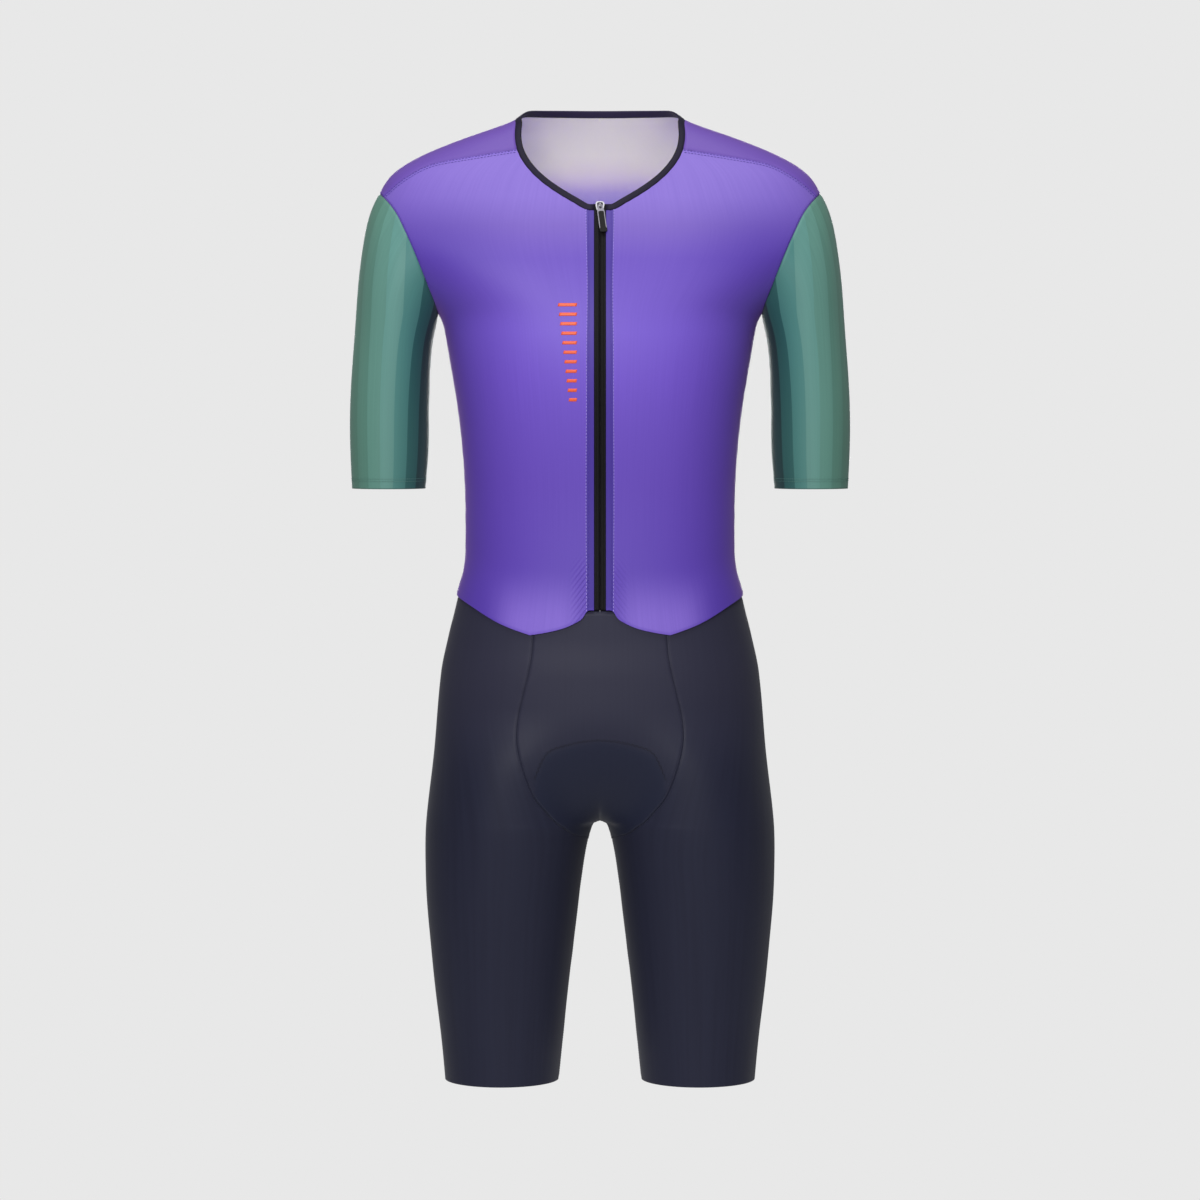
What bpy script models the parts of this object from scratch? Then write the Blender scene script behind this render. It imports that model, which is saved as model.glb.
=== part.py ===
"""A short-sleeved cycling skinsuit, filled out as if worn and standing.

+X is the wearer's left, the front faces -Y and +Z is up. The origin lies midway between the
two high points of the shoulders, where the suit hangs on its wearer.

Every trunk and leg piece is cut from one form. A point of that form is named by its chart:
the turn, 0 at the centre front, 90 degrees at the side and 180 at the centre back, and the
height z. Below the crotch the turn runs once round each leg, from its inside to its outside
and back. Each piece is a patch of the chart between its seams, given a wall's thickness.
"""
import math

import bmesh
import bpy
import numpy as np
from mathutils import Matrix, Vector

MM = 0.001
WALL = 1.2 * MM                 # knitted cloth
SEAM = 0.3 * MM                 # between two pieces that are sewn edge to edge
MERGE = 1e-6                    # points nearer than this are one point
LINE_POINTS = 240               # points of a line before it is parted into stations
TURN_LENGTH = 0.15              # cloth to a radian of turn, roughly

# ---------------------------------------------------------------- driving sizes
CROTCH = -723.6 * MM
LEG_HEM = -995 * MM
SIDE_HEM = -487.3 * MM          # lower edge of the jersey at the side seam
BACK_HEM = -497 * MM            # and at the centre back
HALF_BACK = math.radians(135)   # turn midway between them
HEM_RISE = 3 * MM               # how much higher than at the centre back the hem is there
HIP_FRONT = (math.radians(55), -492 * MM)   # a point of the shorts' upper edge
ARMPIT = -197.2 * MM
UPPER_BACK = 22 * MM            # the back's upper rows end so far below the armpit
SHOULDER_TIP = -73.8 * MM       # highest point of the armhole
SPLIT_TOP = -600 * MM           # the trunk starts to part into legs
SPLIT_END = -775 * MM           # and has parted all round
ARCH = 4.5 * MM                 # how fast the gap between the legs opens in the middle
ARCH_END = -800 * MM            # and where it has opened all round
CROTCH_CURVE = 2.4              # exponent of the crotch's curve, seen from the side
GROOVE = 0.35                   # rounding of the valley between the thighs
MIDDLE_WIDTH = 0.35             # sine of the turn up to which the crotch shapes the ring
GUSSET_END = -745 * MM          # the centre-front panel ends here, inside each thigh

ZIP_HALF = 6.1 * MM             # half of the zip's visible width
ZIP_TOP = -86.7 * MM
ZIP_BOTTOM = -500.8 * MM
TAPE_HALF = 10 * MM
TAPE_SINK = WALL + SEAM         # the tape lies under the jersey's edges
TAPE_ROWS = 26
TAPE_PARTING = 2.0 * MM         # the tapes part round the slider's post
PARTING_END = -96 * MM

TUCK = 12 * MM                  # how far the shorts run up under the jersey
TUCK_SINK = WALL + 0.9 * MM
TUCK_FADE = (-530 * MM, -570 * MM)
SHORTS_FRONT_TOP = -501.6 * MM

BIND_WIDTH = 6.4 * MM           # at the front, where its folded elastic is stretched
BIND_BACK = 0.8 * MM            # how much wider it is behind the neck
BIND_TURN = math.radians(60)    # and the turn from which it widens
BIND_LIFT = 0.7 * MM
BIND_PROFILE = ((SEAM / 2 / BIND_WIDTH, 0.6), (0.35, 1), (0.7, 1), (1, 0.5))   # shares of width, lift

# rows and columns of each patch
NECK_COLUMNS, SHOULDER_COLUMNS = 6, 9
ARMHOLE_FRONT, ARMHOLE_BACK = 11, 15
SIDE_ROWS = 13
NECK_ROWS = 7
SLEEVE_ROWS = 11
GUSSET_COLUMNS, GUSSET_ROWS = 5, 15
PAD_COLUMNS, PAD_ROWS = 6, 9
LEG_COLUMNS, LEG_LOWER_ROWS = 21, 9


def columns(names, rows):
    """A short table in millimetres, as one array in metres under each column's name."""
    values = np.array(rows, float) * MM
    return dict(zip(names, values.T))


# half-width of the suit; between the shoulder tips and the armpits it passes the armhole seams
OUTLINE = columns(("z", "half"), (
    (16, 75), (8, 80.5), (4, 85.5), (-4, 104), (-14, 133), (-26, 165), (-40, 195), (-55, 216),
    (-71, 226.8), (-92, 237.5), (-111, 244), (-128, 240), (-145, 227), (-163, 207), (-180, 186),
    (-197, 168), (-213, 161.5), (-242, 156.3), (-290, 148.3), (-335, 143), (-383, 140),
    (-430, 139.6), (-461, 141.5), (-488, 149), (-507, 153.6), (-523, 157.8), (-541, 161.6),
    (-565, 165), (-600, 168.7), (-650, 172.8), (-700, 178.7), (-735, 181.8), (-765, 182),
    (-800, 181), (-850, 176.9), (-900, 172), (-950, 166), (-995, 161.8)))

# front and back depth, the depth of the widest point, and squareness in thousandths
TRUNK = columns(("z", "front", "back", "side", "square"), (
    (16, -20, 57, 0, 0), (0, -27, 66, 0, 0), (-15, -33, 73, 0, 4), (-33, -42, 80, 0, 9),
    (-60, -57, 89, 0, 16), (-90, -73, 97, 0, 20), (-120, -88, 103, 0, 20),
    (-155, -101, 108, 0, 20), (-200, -111, 110, 0, 22), (-245, -114, 106, 0, 24),
    (-310, -109, 96, 0, 24), (-380, -100, 87, 0, 22), (-440, -97, 88, 0, 20),
    (-500, -97, 99, 2, 18), (-560, -97, 111, 5, 15), (-620, -97, 117, 7, 12),
    (-680, -96, 114, 6, 8), (-735, -94, 104, 4, 4), (-790, -89, 92, 2, 0)))

# each leg; inner is its distance from the middle, before the arch at the crotch
LEG = columns(("z", "inner", "front", "back"), (
    (-600, 4, -92, 104), (-680, 8, -94, 103), (-729, 12.1, -94, 100), (-760, 16.7, -91, 92),
    (-800, 21.6, -86, 85), (-850, 27.5, -79, 78), (-900, 33.2, -72, 72), (-950, 38.6, -66, 67),
    (-995, 43.2, -62, 64)))

NECK_FRONT = -93.1 * MM         # where the neck seam meets the zip
# neck seam: the height of the binding's lower edge at each turn, in degrees and millimetres
NECK_SEAM = ((0, -93.1), (2.4, -93.1), (3.3, -92.3), (4.6, -89.2), (8.4, -79.7), (14.7, -63.2),
             (19.3, -50.2), (26, -34.3), (39.3, -15.2), (50, -7.3), (60, -2.5), (75, 1.4),
             (90, 4.4), (105, 7.2), (125, 8.4), (150, 9.2), (180, 9.5))
NECK_CORNER = 28.5              # turn at which the shoulder seam leaves the neck seam

# seams that the front shows, as x and z
SHOULDER_SEAM = ((112, -33.6), (139, -37.8), (162, -41.6), (178, -46), (196.5, -55.5),
                 (210, -65))
HEM_INNER = ((12.7, -501.3), (17, -507.7), (24, -513.2), (37, -519.1), (49, -522.4),
             (62, -525), (71.8, -526.5))
HEM_OUTER = ((85, -522.2), (101.5, -515.9), (115, -509), (131.5, -499.2))
CENTRE_SEAM = ((68, -504), (69, -530), (71, -553), (75.5, -575), (81, -597), (85, -618),
               (85, -638), (80.5, -658), (74, -677), (65.5, -695), (54, -709), (40, -723),
               (26, -734), (14, -740))

# edge of the pad, which lies against the shorts from front to back; it shows through them
PAD_EDGE = ((43, -639.3), (58, -651.5), (66.2, -669.9), (67.5, -690), (62, -715), (45, -742))
PAD_TOP = -633.2 * MM
PAD_END = -765 * MM             # lowest point of its wing on the inner thigh
PAD_WIDER = 1.3                 # it is so much wider behind than in front
PAD_THICK = (1.6 * MM, 6 * MM)  # at the edge and in the middle
PAD_SINK = WALL + 2.8 * MM

# the armhole is an oval on the chart, wider at the front than at the back
ARMHOLE_TURN = math.radians(36.2)
ARMHOLE_FORWARD = math.radians(2.2)
ARMHOLE_EGG = 0.12
TIP_ANGLE = math.radians(-21)   # where the shoulder seam meets the armhole

# sleeve rings, from the armhole to the cuff: outermost and innermost point, and half-depth
SLEEVE = columns(("outer_x", "outer_z", "inner_x", "inner_z", "deep"), (
    (226.7, -73.8, 168, -197.2, 62), (232.5, -84, 168.6, -201, 62),
    (239.5, -102, 169.9, -208.5, 62), (245.5, -130, 172.8, -222, 61),
    (250.5, -168, 175.4, -242, 58), (254, -215, 177, -270, 54), (258, -268, 177.8, -306, 50.5),
    (259.5, -322, 178.6, -343, 48.5), (257.4, -378.5, 181.4, -378.5, 47)))
ARMHOLE_REACH = 4               # rings over which the armhole's own shape fades out

# zip slider and pull, as half-widths, or as low and high along the zip and out from it
SLIDER_AT = -89.5 * MM
SLIDER = {                      # half-width, along, out
    "front": (4.6, (-5.6, 5.6), (-1.2, 0.2)),
    "back": (4.1, (-5.6, 5.6), (-4.6, -3.0)),
    "post": (1.3, (0.6, 3.8), (-3.4, -0.8)),
    "arch_low": (0.9, (-3.0, -1.8), (0.0, 3.6)),
    "arch_high": (0.9, (1.8, 3.0), (0.0, 3.6)),
    "arch_bar": (0.9, (-3.0, 3.0), (2.75, 3.6)),
}
PIN_OUT = 1.5 * MM
PULL_TILT = math.radians(7)
PULL_THICK = 1.5 * MM
PULL_OUTLINE = ((-2.6, 0.9), (2.6, 0.9), (3.0, -4.0), (3.7, -6.8), (3.7, -29.2), (2.6, -31.0),
                (-2.6, -31.0), (-3.7, -29.2), (-3.7, -6.8), (-3.0, -4.0))
PULL_EYE = (1.4, (-4.0, -0.8))  # half-width, and low and high along the pull

COLOURS = {                     # red, green, blue, roughness, metallic
    "jersey": (0.19, 0.10, 0.50, 0.55, 0.0),
    "sleeve": (0.09, 0.26, 0.22, 0.55, 0.0),
    "shorts": (0.022, 0.024, 0.042, 0.6, 0.0),
    "binding": (0.018, 0.017, 0.03, 0.7, 0.0),
    "zip": (0.008, 0.008, 0.01, 0.5, 0.0),
    "pad": (0.05, 0.06, 0.10, 0.9, 0.0),
    "metal": (0.55, 0.55, 0.57, 0.3, 1.0),
}


# ---------------------------------------------------------------- curves
def smooth(knots, values):
    """A natural cubic spline through the points, as a function."""
    order = np.argsort(knots)
    x, y = np.asarray(knots, float)[order], np.asarray(values, float)[order]
    step = np.diff(x)
    system, right = np.eye(len(x)), np.zeros(len(x))
    for i in range(1, len(x) - 1):
        system[i, i - 1:i + 2] = step[i - 1], 2 * (step[i - 1] + step[i]), step[i]
        right[i] = 6 * ((y[i + 1] - y[i]) / step[i] - (y[i] - y[i - 1]) / step[i - 1])
    bend = np.linalg.solve(system, right)

    def at(position):
        position = np.asarray(position, float)
        k = np.clip(np.searchsorted(x, position) - 1, 0, len(x) - 2)
        before, after, h = position - x[k], x[k + 1] - position, step[k]
        curve = (bend[k] * after ** 3 + bend[k + 1] * before ** 3) / (6 * h)
        return (curve + (y[k] / h - bend[k] * h / 6) * after
                + (y[k + 1] / h - bend[k + 1] * h / 6) * before)
    return at


def ease(value):
    """0 to 1 with a level start and end."""
    value = np.clip(value, 0, 1)
    return value * value * (3 - 2 * value)


def by_height(table):
    return {name: smooth(table["z"], column) for name, column in table.items() if name != "z"}


outline = smooth(OUTLINE["z"], OUTLINE["half"])
trunk = by_height(TRUNK)
leg = by_height(LEG)
neck_height = smooth([math.radians(turn) for turn, z in NECK_SEAM],
                     [z * MM for turn, z in NECK_SEAM])


# ---------------------------------------------------------------- the form
def arch_share(z):
    """How far the middle of the trunk has become legs: 0 above, 1 from the crotch down."""
    fall = np.clip((SPLIT_TOP - z) / (SPLIT_TOP - CROTCH), 0, 1)
    return 1 - (1 - fall ** CROTCH_CURVE) ** (1 / CROTCH_CURVE)


def kept_depth(share):
    """Depth of a ring part of the way from an ellipse to two legs, as a share of full depth."""
    rest = 1 - share
    sine = 4 * share / (rest + np.sqrt(rest ** 2 + 32 * share ** 2))
    return np.sqrt(1 - sine ** 2) * (rest + 2 * share * sine)


def form(turn, z):
    """Points of the suit's outer surface on the wearer's left, from the chart."""
    turn, z = np.broadcast_arrays(np.asarray(turn, float), np.asarray(z, float))
    half, square = outline(z), trunk["square"](z)
    front, back = trunk["front"](z), trunk["back"](z)
    middle, deep = (front + back) / 2, (back - front) / 2
    body_x = half * (np.sin(turn) + square * np.sin(3 * turn)) / (1 - square)
    body_y = middle - deep * (np.cos(turn) - square * np.cos(3 * turn)) / (1 - square)
    body_y = body_y + (trunk["side"](z) - middle) * np.sin(turn) ** 2

    arch = arch_share(z)
    near = np.exp(-(np.sin(turn) / MIDDLE_WIDTH) ** 2)
    below = np.maximum(CROTCH - z, 0)
    opened = near * (1 - np.exp(-np.sqrt(below / ARCH)))
    opened = opened + (1 - near) * ease((SPLIT_TOP - z) / (SPLIT_TOP - ARCH_END))
    leg_x = half * np.sin(turn) ** 2 + leg["inner"](z) * opened * np.cos(turn) ** 2
    leg_front, leg_back = leg["front"](z), leg["back"](z)
    groove = GROOVE * np.clip((z - CROTCH) / (SPLIT_TOP - CROTCH), 0, 1)
    round_leg = np.sqrt(np.sin(2 * turn) ** 2 + groove ** 2) - groove
    round_leg = round_leg / (np.sqrt(1 + groove ** 2) - groove)
    round_leg = round_leg * np.where(turn > math.pi / 2, -1, 1)
    leg_y = (leg_front + leg_back) / 2 - (leg_back - leg_front) / 2 * round_leg

    parted = ease((SPLIT_TOP - z) / (SPLIT_TOP - SPLIT_END))
    share = near * arch + (1 - near) * parted
    x = body_x * (1 - share) + leg_x * share
    y = body_y * (1 - share) + leg_y * share
    fuller = 1 + (1 / kept_depth(parted) - 1) * (1 - near)
    return np.stack((x, middle + (y - middle) * fuller, z), axis=-1)


def unit(vectors):
    return vectors / np.linalg.norm(vectors, axis=-1, keepdims=True)


def form_normal(turn, z):
    """Outward directions of the form; a small step down keeps to the crotch's lower side."""
    step_turn, step_z = 1e-4, 1e-5
    turn, z = np.broadcast_arrays(np.asarray(turn, float), np.asarray(z, float))
    low, high = np.maximum(turn - step_turn, 0), np.minimum(turn + step_turn, math.pi)
    normal = np.cross(form(high, z) - form(low, z), form(turn, z) - form(turn, z - step_z))
    on_middle = (np.abs(np.sin(turn)) < 1e-9) & (z >= CROTCH - MERGE)
    normal[..., 0] = np.where(on_middle, 0, normal[..., 0])
    return unit(normal)


def front_turn(x, z):
    """The turn at which the front of the form has this x at this height."""
    x, z = np.broadcast_arrays(np.asarray(x, float), np.asarray(z, float))
    low, high = np.zeros(x.shape), np.full(x.shape, math.pi / 2)
    for _ in range(40):
        middle = (low + high) / 2
        short = form(middle, z)[..., 0] < x
        low, high = np.where(short, middle, low), np.where(short, high, middle)
    return (low + high) / 2


# ---------------------------------------------------------------- lines on the chart
def front_points(pairs):
    """Seam points given as x and z in millimetres, as chart points."""
    x, z = np.array(pairs, float).T * MM
    return np.stack((front_turn(x, z), z), axis=-1)


def through(points):
    """A smooth line through chart points, as many points."""
    points = np.asarray(points, float)
    span = np.hypot(np.diff(points[:, 0]) * TURN_LENGTH, np.diff(points[:, 1]))
    at = np.concatenate(((0,), np.cumsum(span)))
    fine = np.linspace(0, at[-1], LINE_POINTS)
    return np.stack((smooth(at, points[:, 0])(fine), smooth(at, points[:, 1])(fine)), axis=-1)


def spaced(line, count):
    """Stations that part a chart line into lengths that are equal along the cloth."""
    space = form(line[:, 0], line[:, 1])
    run = np.concatenate(((0,), np.cumsum(np.linalg.norm(np.diff(space, axis=0), axis=1))))
    goal = np.linspace(0, run[-1], count + 1)
    return np.stack([np.interp(goal, run, line[:, k]) for k in (0, 1)], axis=-1)


def joined(*parts):
    """One run of stations from several that meet end to end."""
    return np.concatenate([parts[0]] + [part[1:] for part in parts[1:]])


def straight(start, end):
    share = np.linspace(0, 1, LINE_POINTS)[:, None]
    return np.asarray(start) * (1 - share) + np.asarray(end) * share


def patch(top, bottom, left, right):
    """A grid of chart points between four runs of stations, rows from top to bottom."""
    u = np.linspace(0, 1, len(top))[None, :, None]
    v = np.linspace(0, 1, len(left))[:, None, None]
    across = left[:, None] * (1 - u) + right[:, None] * u
    down = top[None] * (1 - v) + bottom[None] * v
    corners = ((top[0] * (1 - u) + top[-1] * u) * (1 - v)
               + (bottom[0] * (1 - u) + bottom[-1] * u) * v)
    return across + down - corners


def armhole(angle):
    """Chart points round the armhole: -180 degrees at the armpit, round the front, 0 on top."""
    wide = (ARMHOLE_TURN - ARMHOLE_FORWARD * np.sin(angle)) * (1 + ARMHOLE_EGG * np.cos(angle))
    middle, half = (SHOULDER_TIP + ARMPIT) / 2, (SHOULDER_TIP - ARMPIT) / 2
    return np.stack((math.pi / 2 + wide * np.sin(angle), middle + half * np.cos(angle)), axis=-1)


def neck_line(start, end):
    turn = np.linspace(start, end, LINE_POINTS)
    return np.stack((turn, neck_height(turn)), axis=-1)


# ---------------------------------------------------------------- stations shared by pieces
NECK_START = np.array((front_turn(ZIP_HALF, NECK_FRONT), NECK_FRONT))
CORNER_TURN = math.radians(NECK_CORNER)
ARMHOLE_ANGLES = np.concatenate((
    np.linspace(-math.pi, TIP_ANGLE, ARMHOLE_FRONT + 1),
    np.linspace(TIP_ANGLE, math.pi, ARMHOLE_BACK + 1)[1:]))
FRONT_ARMHOLE = armhole(ARMHOLE_ANGLES[:ARMHOLE_FRONT + 1])[::-1]
BACK_ARMHOLE = armhole(ARMHOLE_ANGLES[ARMHOLE_FRONT:])
SIDE = spaced(straight((math.pi / 2, ARMPIT), (math.pi / 2, SIDE_HEM)), SIDE_ROWS)
FRONT_NECK = spaced(neck_line(NECK_START[0], CORNER_TURN), NECK_COLUMNS)
BACK_NECK = spaced(neck_line(CORNER_TURN, math.pi), NECK_ROWS)
SHOULDER = spaced(through(np.concatenate((
    FRONT_NECK[-1:], front_points(SHOULDER_SEAM), FRONT_ARMHOLE[:1]))), SHOULDER_COLUMNS)
CROTCH_POINT = (0, CROTCH)
GUSSET_EDGE = spaced(straight(CROTCH_POINT, (0, GUSSET_END)), GUSSET_COLUMNS)
CENTRE = spaced(through(np.concatenate((
    front_points(CENTRE_SEAM), ((0, GUSSET_END),)))), GUSSET_ROWS)


def chart_front():
    """The jersey's front half, from the zip to the armhole and the side seam."""
    zip_z = np.linspace(NECK_START[1], ZIP_BOTTOM, LINE_POINTS)
    zip_edge = np.stack((front_turn(ZIP_HALF, zip_z), zip_z), axis=-1)
    inner = through(np.concatenate((zip_edge[-1:], front_points(HEM_INNER))))
    outer = through(np.concatenate((
        front_points(HEM_INNER[-1:] + HEM_OUTER), ((math.pi / 2, SIDE_HEM),))))
    hem = joined(spaced(inner, NECK_COLUMNS), spaced(outer, SHOULDER_COLUMNS))
    return patch(joined(FRONT_NECK, SHOULDER), hem,
                 spaced(zip_edge, ARMHOLE_FRONT + SIDE_ROWS), joined(FRONT_ARMHOLE, SIDE))


def chart_back():
    """Half of the jersey's back, which comes over the shoulder to the shoulder seam."""
    level = ARMPIT - UPPER_BACK
    upper = spaced(straight(BACK_NECK[-1], (math.pi, level)), ARMHOLE_BACK - NECK_ROWS)
    lower = spaced(straight((math.pi, level), (math.pi, BACK_HEM)), SIDE_ROWS)
    hem = through(((math.pi, BACK_HEM), (HALF_BACK, BACK_HEM + HEM_RISE),
                   (math.pi / 2, SIDE_HEM)))
    return patch(SHOULDER, spaced(hem, SHOULDER_COLUMNS),
                 joined(BACK_NECK, upper, lower), joined(BACK_ARMHOLE, SIDE))


def chart_gusset():
    """Half of the shorts' centre front, which ends between the thighs."""
    middle = spaced(straight((0, SHORTS_FRONT_TOP), CROTCH_POINT), GUSSET_ROWS)
    top = spaced(straight(middle[0], CENTRE[0]), GUSSET_COLUMNS)
    return patch(top, GUSSET_EDGE, middle, CENTRE)


def chart_pad():
    """A quarter of the pad: its front on one side, as far as the inner thigh's middle line."""
    middle = spaced(straight((0, PAD_TOP), CROTCH_POINT), PAD_ROWS)
    edge = spaced(through(np.concatenate((front_points(PAD_EDGE), ((0, PAD_END),)))), PAD_ROWS)
    top = spaced(straight(middle[0], edge[0]), PAD_COLUMNS)
    return patch(top, spaced(straight(CROTCH_POINT, (0, PAD_END)), PAD_COLUMNS), middle, edge)


def chart_leg():
    """One leg of the shorts, from the centre-front seam round the outside to the back."""
    side_top, back_top = SIDE_HEM + TUCK, BACK_HEM + TUCK
    top = through((CENTRE[0], HIP_FRONT, (math.pi / 2, side_top),
                   (HALF_BACK, (side_top + back_top) / 2), (math.pi, back_top)))
    inseam = spaced(straight((0, GUSSET_END), (0, LEG_HEM)), LEG_LOWER_ROWS)
    half_turn = np.array((math.pi, 0))
    back = joined(
        spaced(straight((math.pi, back_top), (math.pi, CROTCH)), GUSSET_ROWS - GUSSET_COLUMNS),
        GUSSET_EDGE + half_turn, inseam + half_turn)
    hem = spaced(straight((0, LEG_HEM), (math.pi, LEG_HEM)), LEG_COLUMNS)
    return patch(spaced(top, LEG_COLUMNS), hem, joined(CENTRE, inseam), back)


# ---------------------------------------------------------------- the sleeve
sleeve_ring = {name: smooth(range(len(column)), column) for name, column in SLEEVE.items()}


def plain_ring(angle, ring):
    outer_x, outer_z = sleeve_ring["outer_x"](ring), sleeve_ring["outer_z"](ring)
    inner_x, inner_z = sleeve_ring["inner_x"](ring), sleeve_ring["inner_z"](ring)
    x = (outer_x + inner_x) / 2 + (outer_x - inner_x) / 2 * np.cos(angle)
    z = (outer_z + inner_z) / 2 + (outer_z - inner_z) / 2 * np.cos(angle)
    return np.stack((x, sleeve_ring["deep"](ring) * np.sin(angle), z), axis=-1)


def sleeve_form(angle, ring):
    """Points of the sleeve: the angle as on the armhole, the ring from 0 there to the cuff."""
    angle, ring = np.broadcast_arrays(np.asarray(angle, float), np.asarray(ring, float))
    line = armhole(angle)
    own_shape = form(line[..., 0], line[..., 1]) - plain_ring(angle, np.zeros(ring.shape))
    fade = ease(1 - ring / ARMHOLE_REACH)[..., None]
    return plain_ring(angle, ring) + own_shape * fade


def sleeve_normal(angle, ring):
    step = 1e-4
    angle, ring = np.broadcast_arrays(np.asarray(angle, float), np.asarray(ring, float))
    round_it = sleeve_form(angle + step, ring) - sleeve_form(angle - step, ring)
    down_it = sleeve_form(angle, ring + step) - sleeve_form(angle, ring)
    return unit(np.cross(down_it, round_it))


def armhole_mitre(angle):
    """The direction, midway between the two cloths', in which both end at the armhole seam."""
    line = armhole(angle)
    body = form_normal(line[..., 0], line[..., 1])
    return unit(body + sleeve_normal(angle, np.zeros(np.shape(angle))))


# ---------------------------------------------------------------- walls
EDGES = {"top": (np.s_[0, :], np.s_[1, :]), "bottom": (np.s_[-1, :], np.s_[-2, :]),
         "left": (np.s_[:, 0], np.s_[:, 1]), "right": (np.s_[:, -1], np.s_[:, -2])}


def seam_gap(points, normals, *edges):
    """Draws the named edges of a grid in along the cloth, by half the gap at a seam."""
    moved = points.copy()
    for name in edges:
        here, within = EDGES[name]
        inward = unit(np.cross(normals[here], np.gradient(points[here], axis=0)))
        if np.sum(inward * (points[within] - points[here])) < 0:
            inward = -inward
        moved[here] += inward * SEAM / 2
    return moved


def on_middle(points):
    """Puts the first column of a grid back on the plane between left and right."""
    points = points.copy()
    keep = np.abs(points[:, 0, 0]) < SEAM
    points[keep, 0, 0] = 0
    return points


def mirrored(grid):
    """The other half of a grid, with its columns reversed so that it still faces out."""
    return grid[:, ::-1] * np.array((-1, 1, 1))


def surface_object(name, points, faces, material):
    mesh = bpy.data.meshes.new(name)
    mesh.from_pydata([tuple(point) for point in points], [], faces)
    mesh.update()
    mesh.shade_smooth()
    mesh.set_sharp_from_angle(angle=math.radians(40))
    piece = bpy.data.objects.new(name, mesh)
    bpy.context.scene.collection.objects.link(piece)
    piece.data.materials.append(material)
    return piece


def split(points, numbers, j, i):
    """The two triangles of one field of a grid, parted along its shorter diagonal."""
    corners = ((j, i), (j + 1, i), (j + 1, i + 1), (j, i + 1))
    a, b, c, d = (int(numbers[corner]) for corner in corners)
    first, second, third, fourth = (points[corner] for corner in corners)
    if np.linalg.norm(third - first) < np.linalg.norm(fourth - second):
        return [(a, b, c), (a, c, d)]
    return [(a, b, d), (b, c, d)]


def wall(name, layers, material):
    """A closed wall from pairs of outer and inner grids; grids that share points are joined."""
    outside, inside, faces, known = [], [], [], {}
    for outer, inner in layers:
        numbers = np.zeros(outer.shape[:2], int)
        for place in np.ndindex(*numbers.shape):
            key = tuple(np.round(outer[place] / MERGE).astype(int))
            if key not in known:
                known[key] = len(outside)
                outside.append(outer[place])
                inside.append(inner[place])
            numbers[place] = known[key]
        for j, i in np.ndindex(numbers.shape[0] - 1, numbers.shape[1] - 1):
            faces += split(outer, numbers, j, i)
    edges = {(a, b) for face in faces for a, b in zip(face, face[1:] + face[:1])}
    count = len(outside)
    shell = [tuple(int(k) for k in face) for face in faces]
    shell += [tuple(int(k) + count for k in reversed(face)) for face in faces]
    shell += [(int(b), int(a), int(a) + count, int(b) + count)
              for a, b in edges if (b, a) not in edges]
    return surface_object(name, outside + inside, shell, material)


def chart_grid(chart, sink=0.0):
    """Points and outward directions of a patch, sunk under the form's surface."""
    turn, z = chart[..., 0], chart[..., 1]
    normals = form_normal(turn, z)
    depth = np.broadcast_to(sink, z.shape)[..., None]
    return form(turn, z) - normals * depth, normals


def cloth(points, normals, thickness=WALL):
    return points, points - normals * thickness


# ---------------------------------------------------------------- pieces
def make_material(name):
    red, green, blue, rough, metal = COLOURS[name]
    material = bpy.data.materials.new(name)
    material.use_nodes = True
    shader = material.node_tree.nodes["Principled BSDF"]
    shader.inputs["Base Color"].default_value = (red, green, blue, 1)
    shader.inputs["Roughness"].default_value = rough
    shader.inputs["Metallic"].default_value = metal
    return material


def make_pair(name, points, inner, material):
    """A piece on the wearer's left and its mirror image on the right."""
    wall(name + "_left", [(points, inner)], material)
    wall(name + "_right", [(mirrored(points), mirrored(inner))], material)


def make_fronts(material):
    points, normals = chart_grid(chart_front())
    normals[:ARMHOLE_FRONT + 1, -1] = armhole_mitre(ARMHOLE_ANGLES[:ARMHOLE_FRONT + 1])[::-1]
    points = seam_gap(points, normals, "top", "right")
    make_pair("front", *cloth(points, normals), material)


def make_back(material):
    points, normals = chart_grid(chart_back())
    normals[:ARMHOLE_BACK + 1, -1] = armhole_mitre(ARMHOLE_ANGLES[ARMHOLE_FRONT:])
    middle = points[:, 0].copy()
    points = seam_gap(points, normals, "left", "top", "right")
    points[NECK_ROWS:, 0] = middle[NECK_ROWS:]
    points[NECK_ROWS, 0, 2] -= SEAM / 2
    points = on_middle(points)
    outer, inner = (layer[:, ::-1] for layer in cloth(points, normals))
    wall("back", [(outer, inner), (mirrored(outer), mirrored(inner))], material)


def make_sleeves(material):
    rings = np.linspace(0, len(SLEEVE["deep"]) - 1, SLEEVE_ROWS + 1)[:, None]
    angles = ARMHOLE_ANGLES[None, :]
    points, normals = sleeve_form(angles, rings), sleeve_normal(angles, rings)
    normals[0] = armhole_mitre(ARMHOLE_ANGLES)
    points = seam_gap(points, normals, "top", "left", "right")
    make_pair("sleeve", *cloth(points, normals), material)


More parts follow.
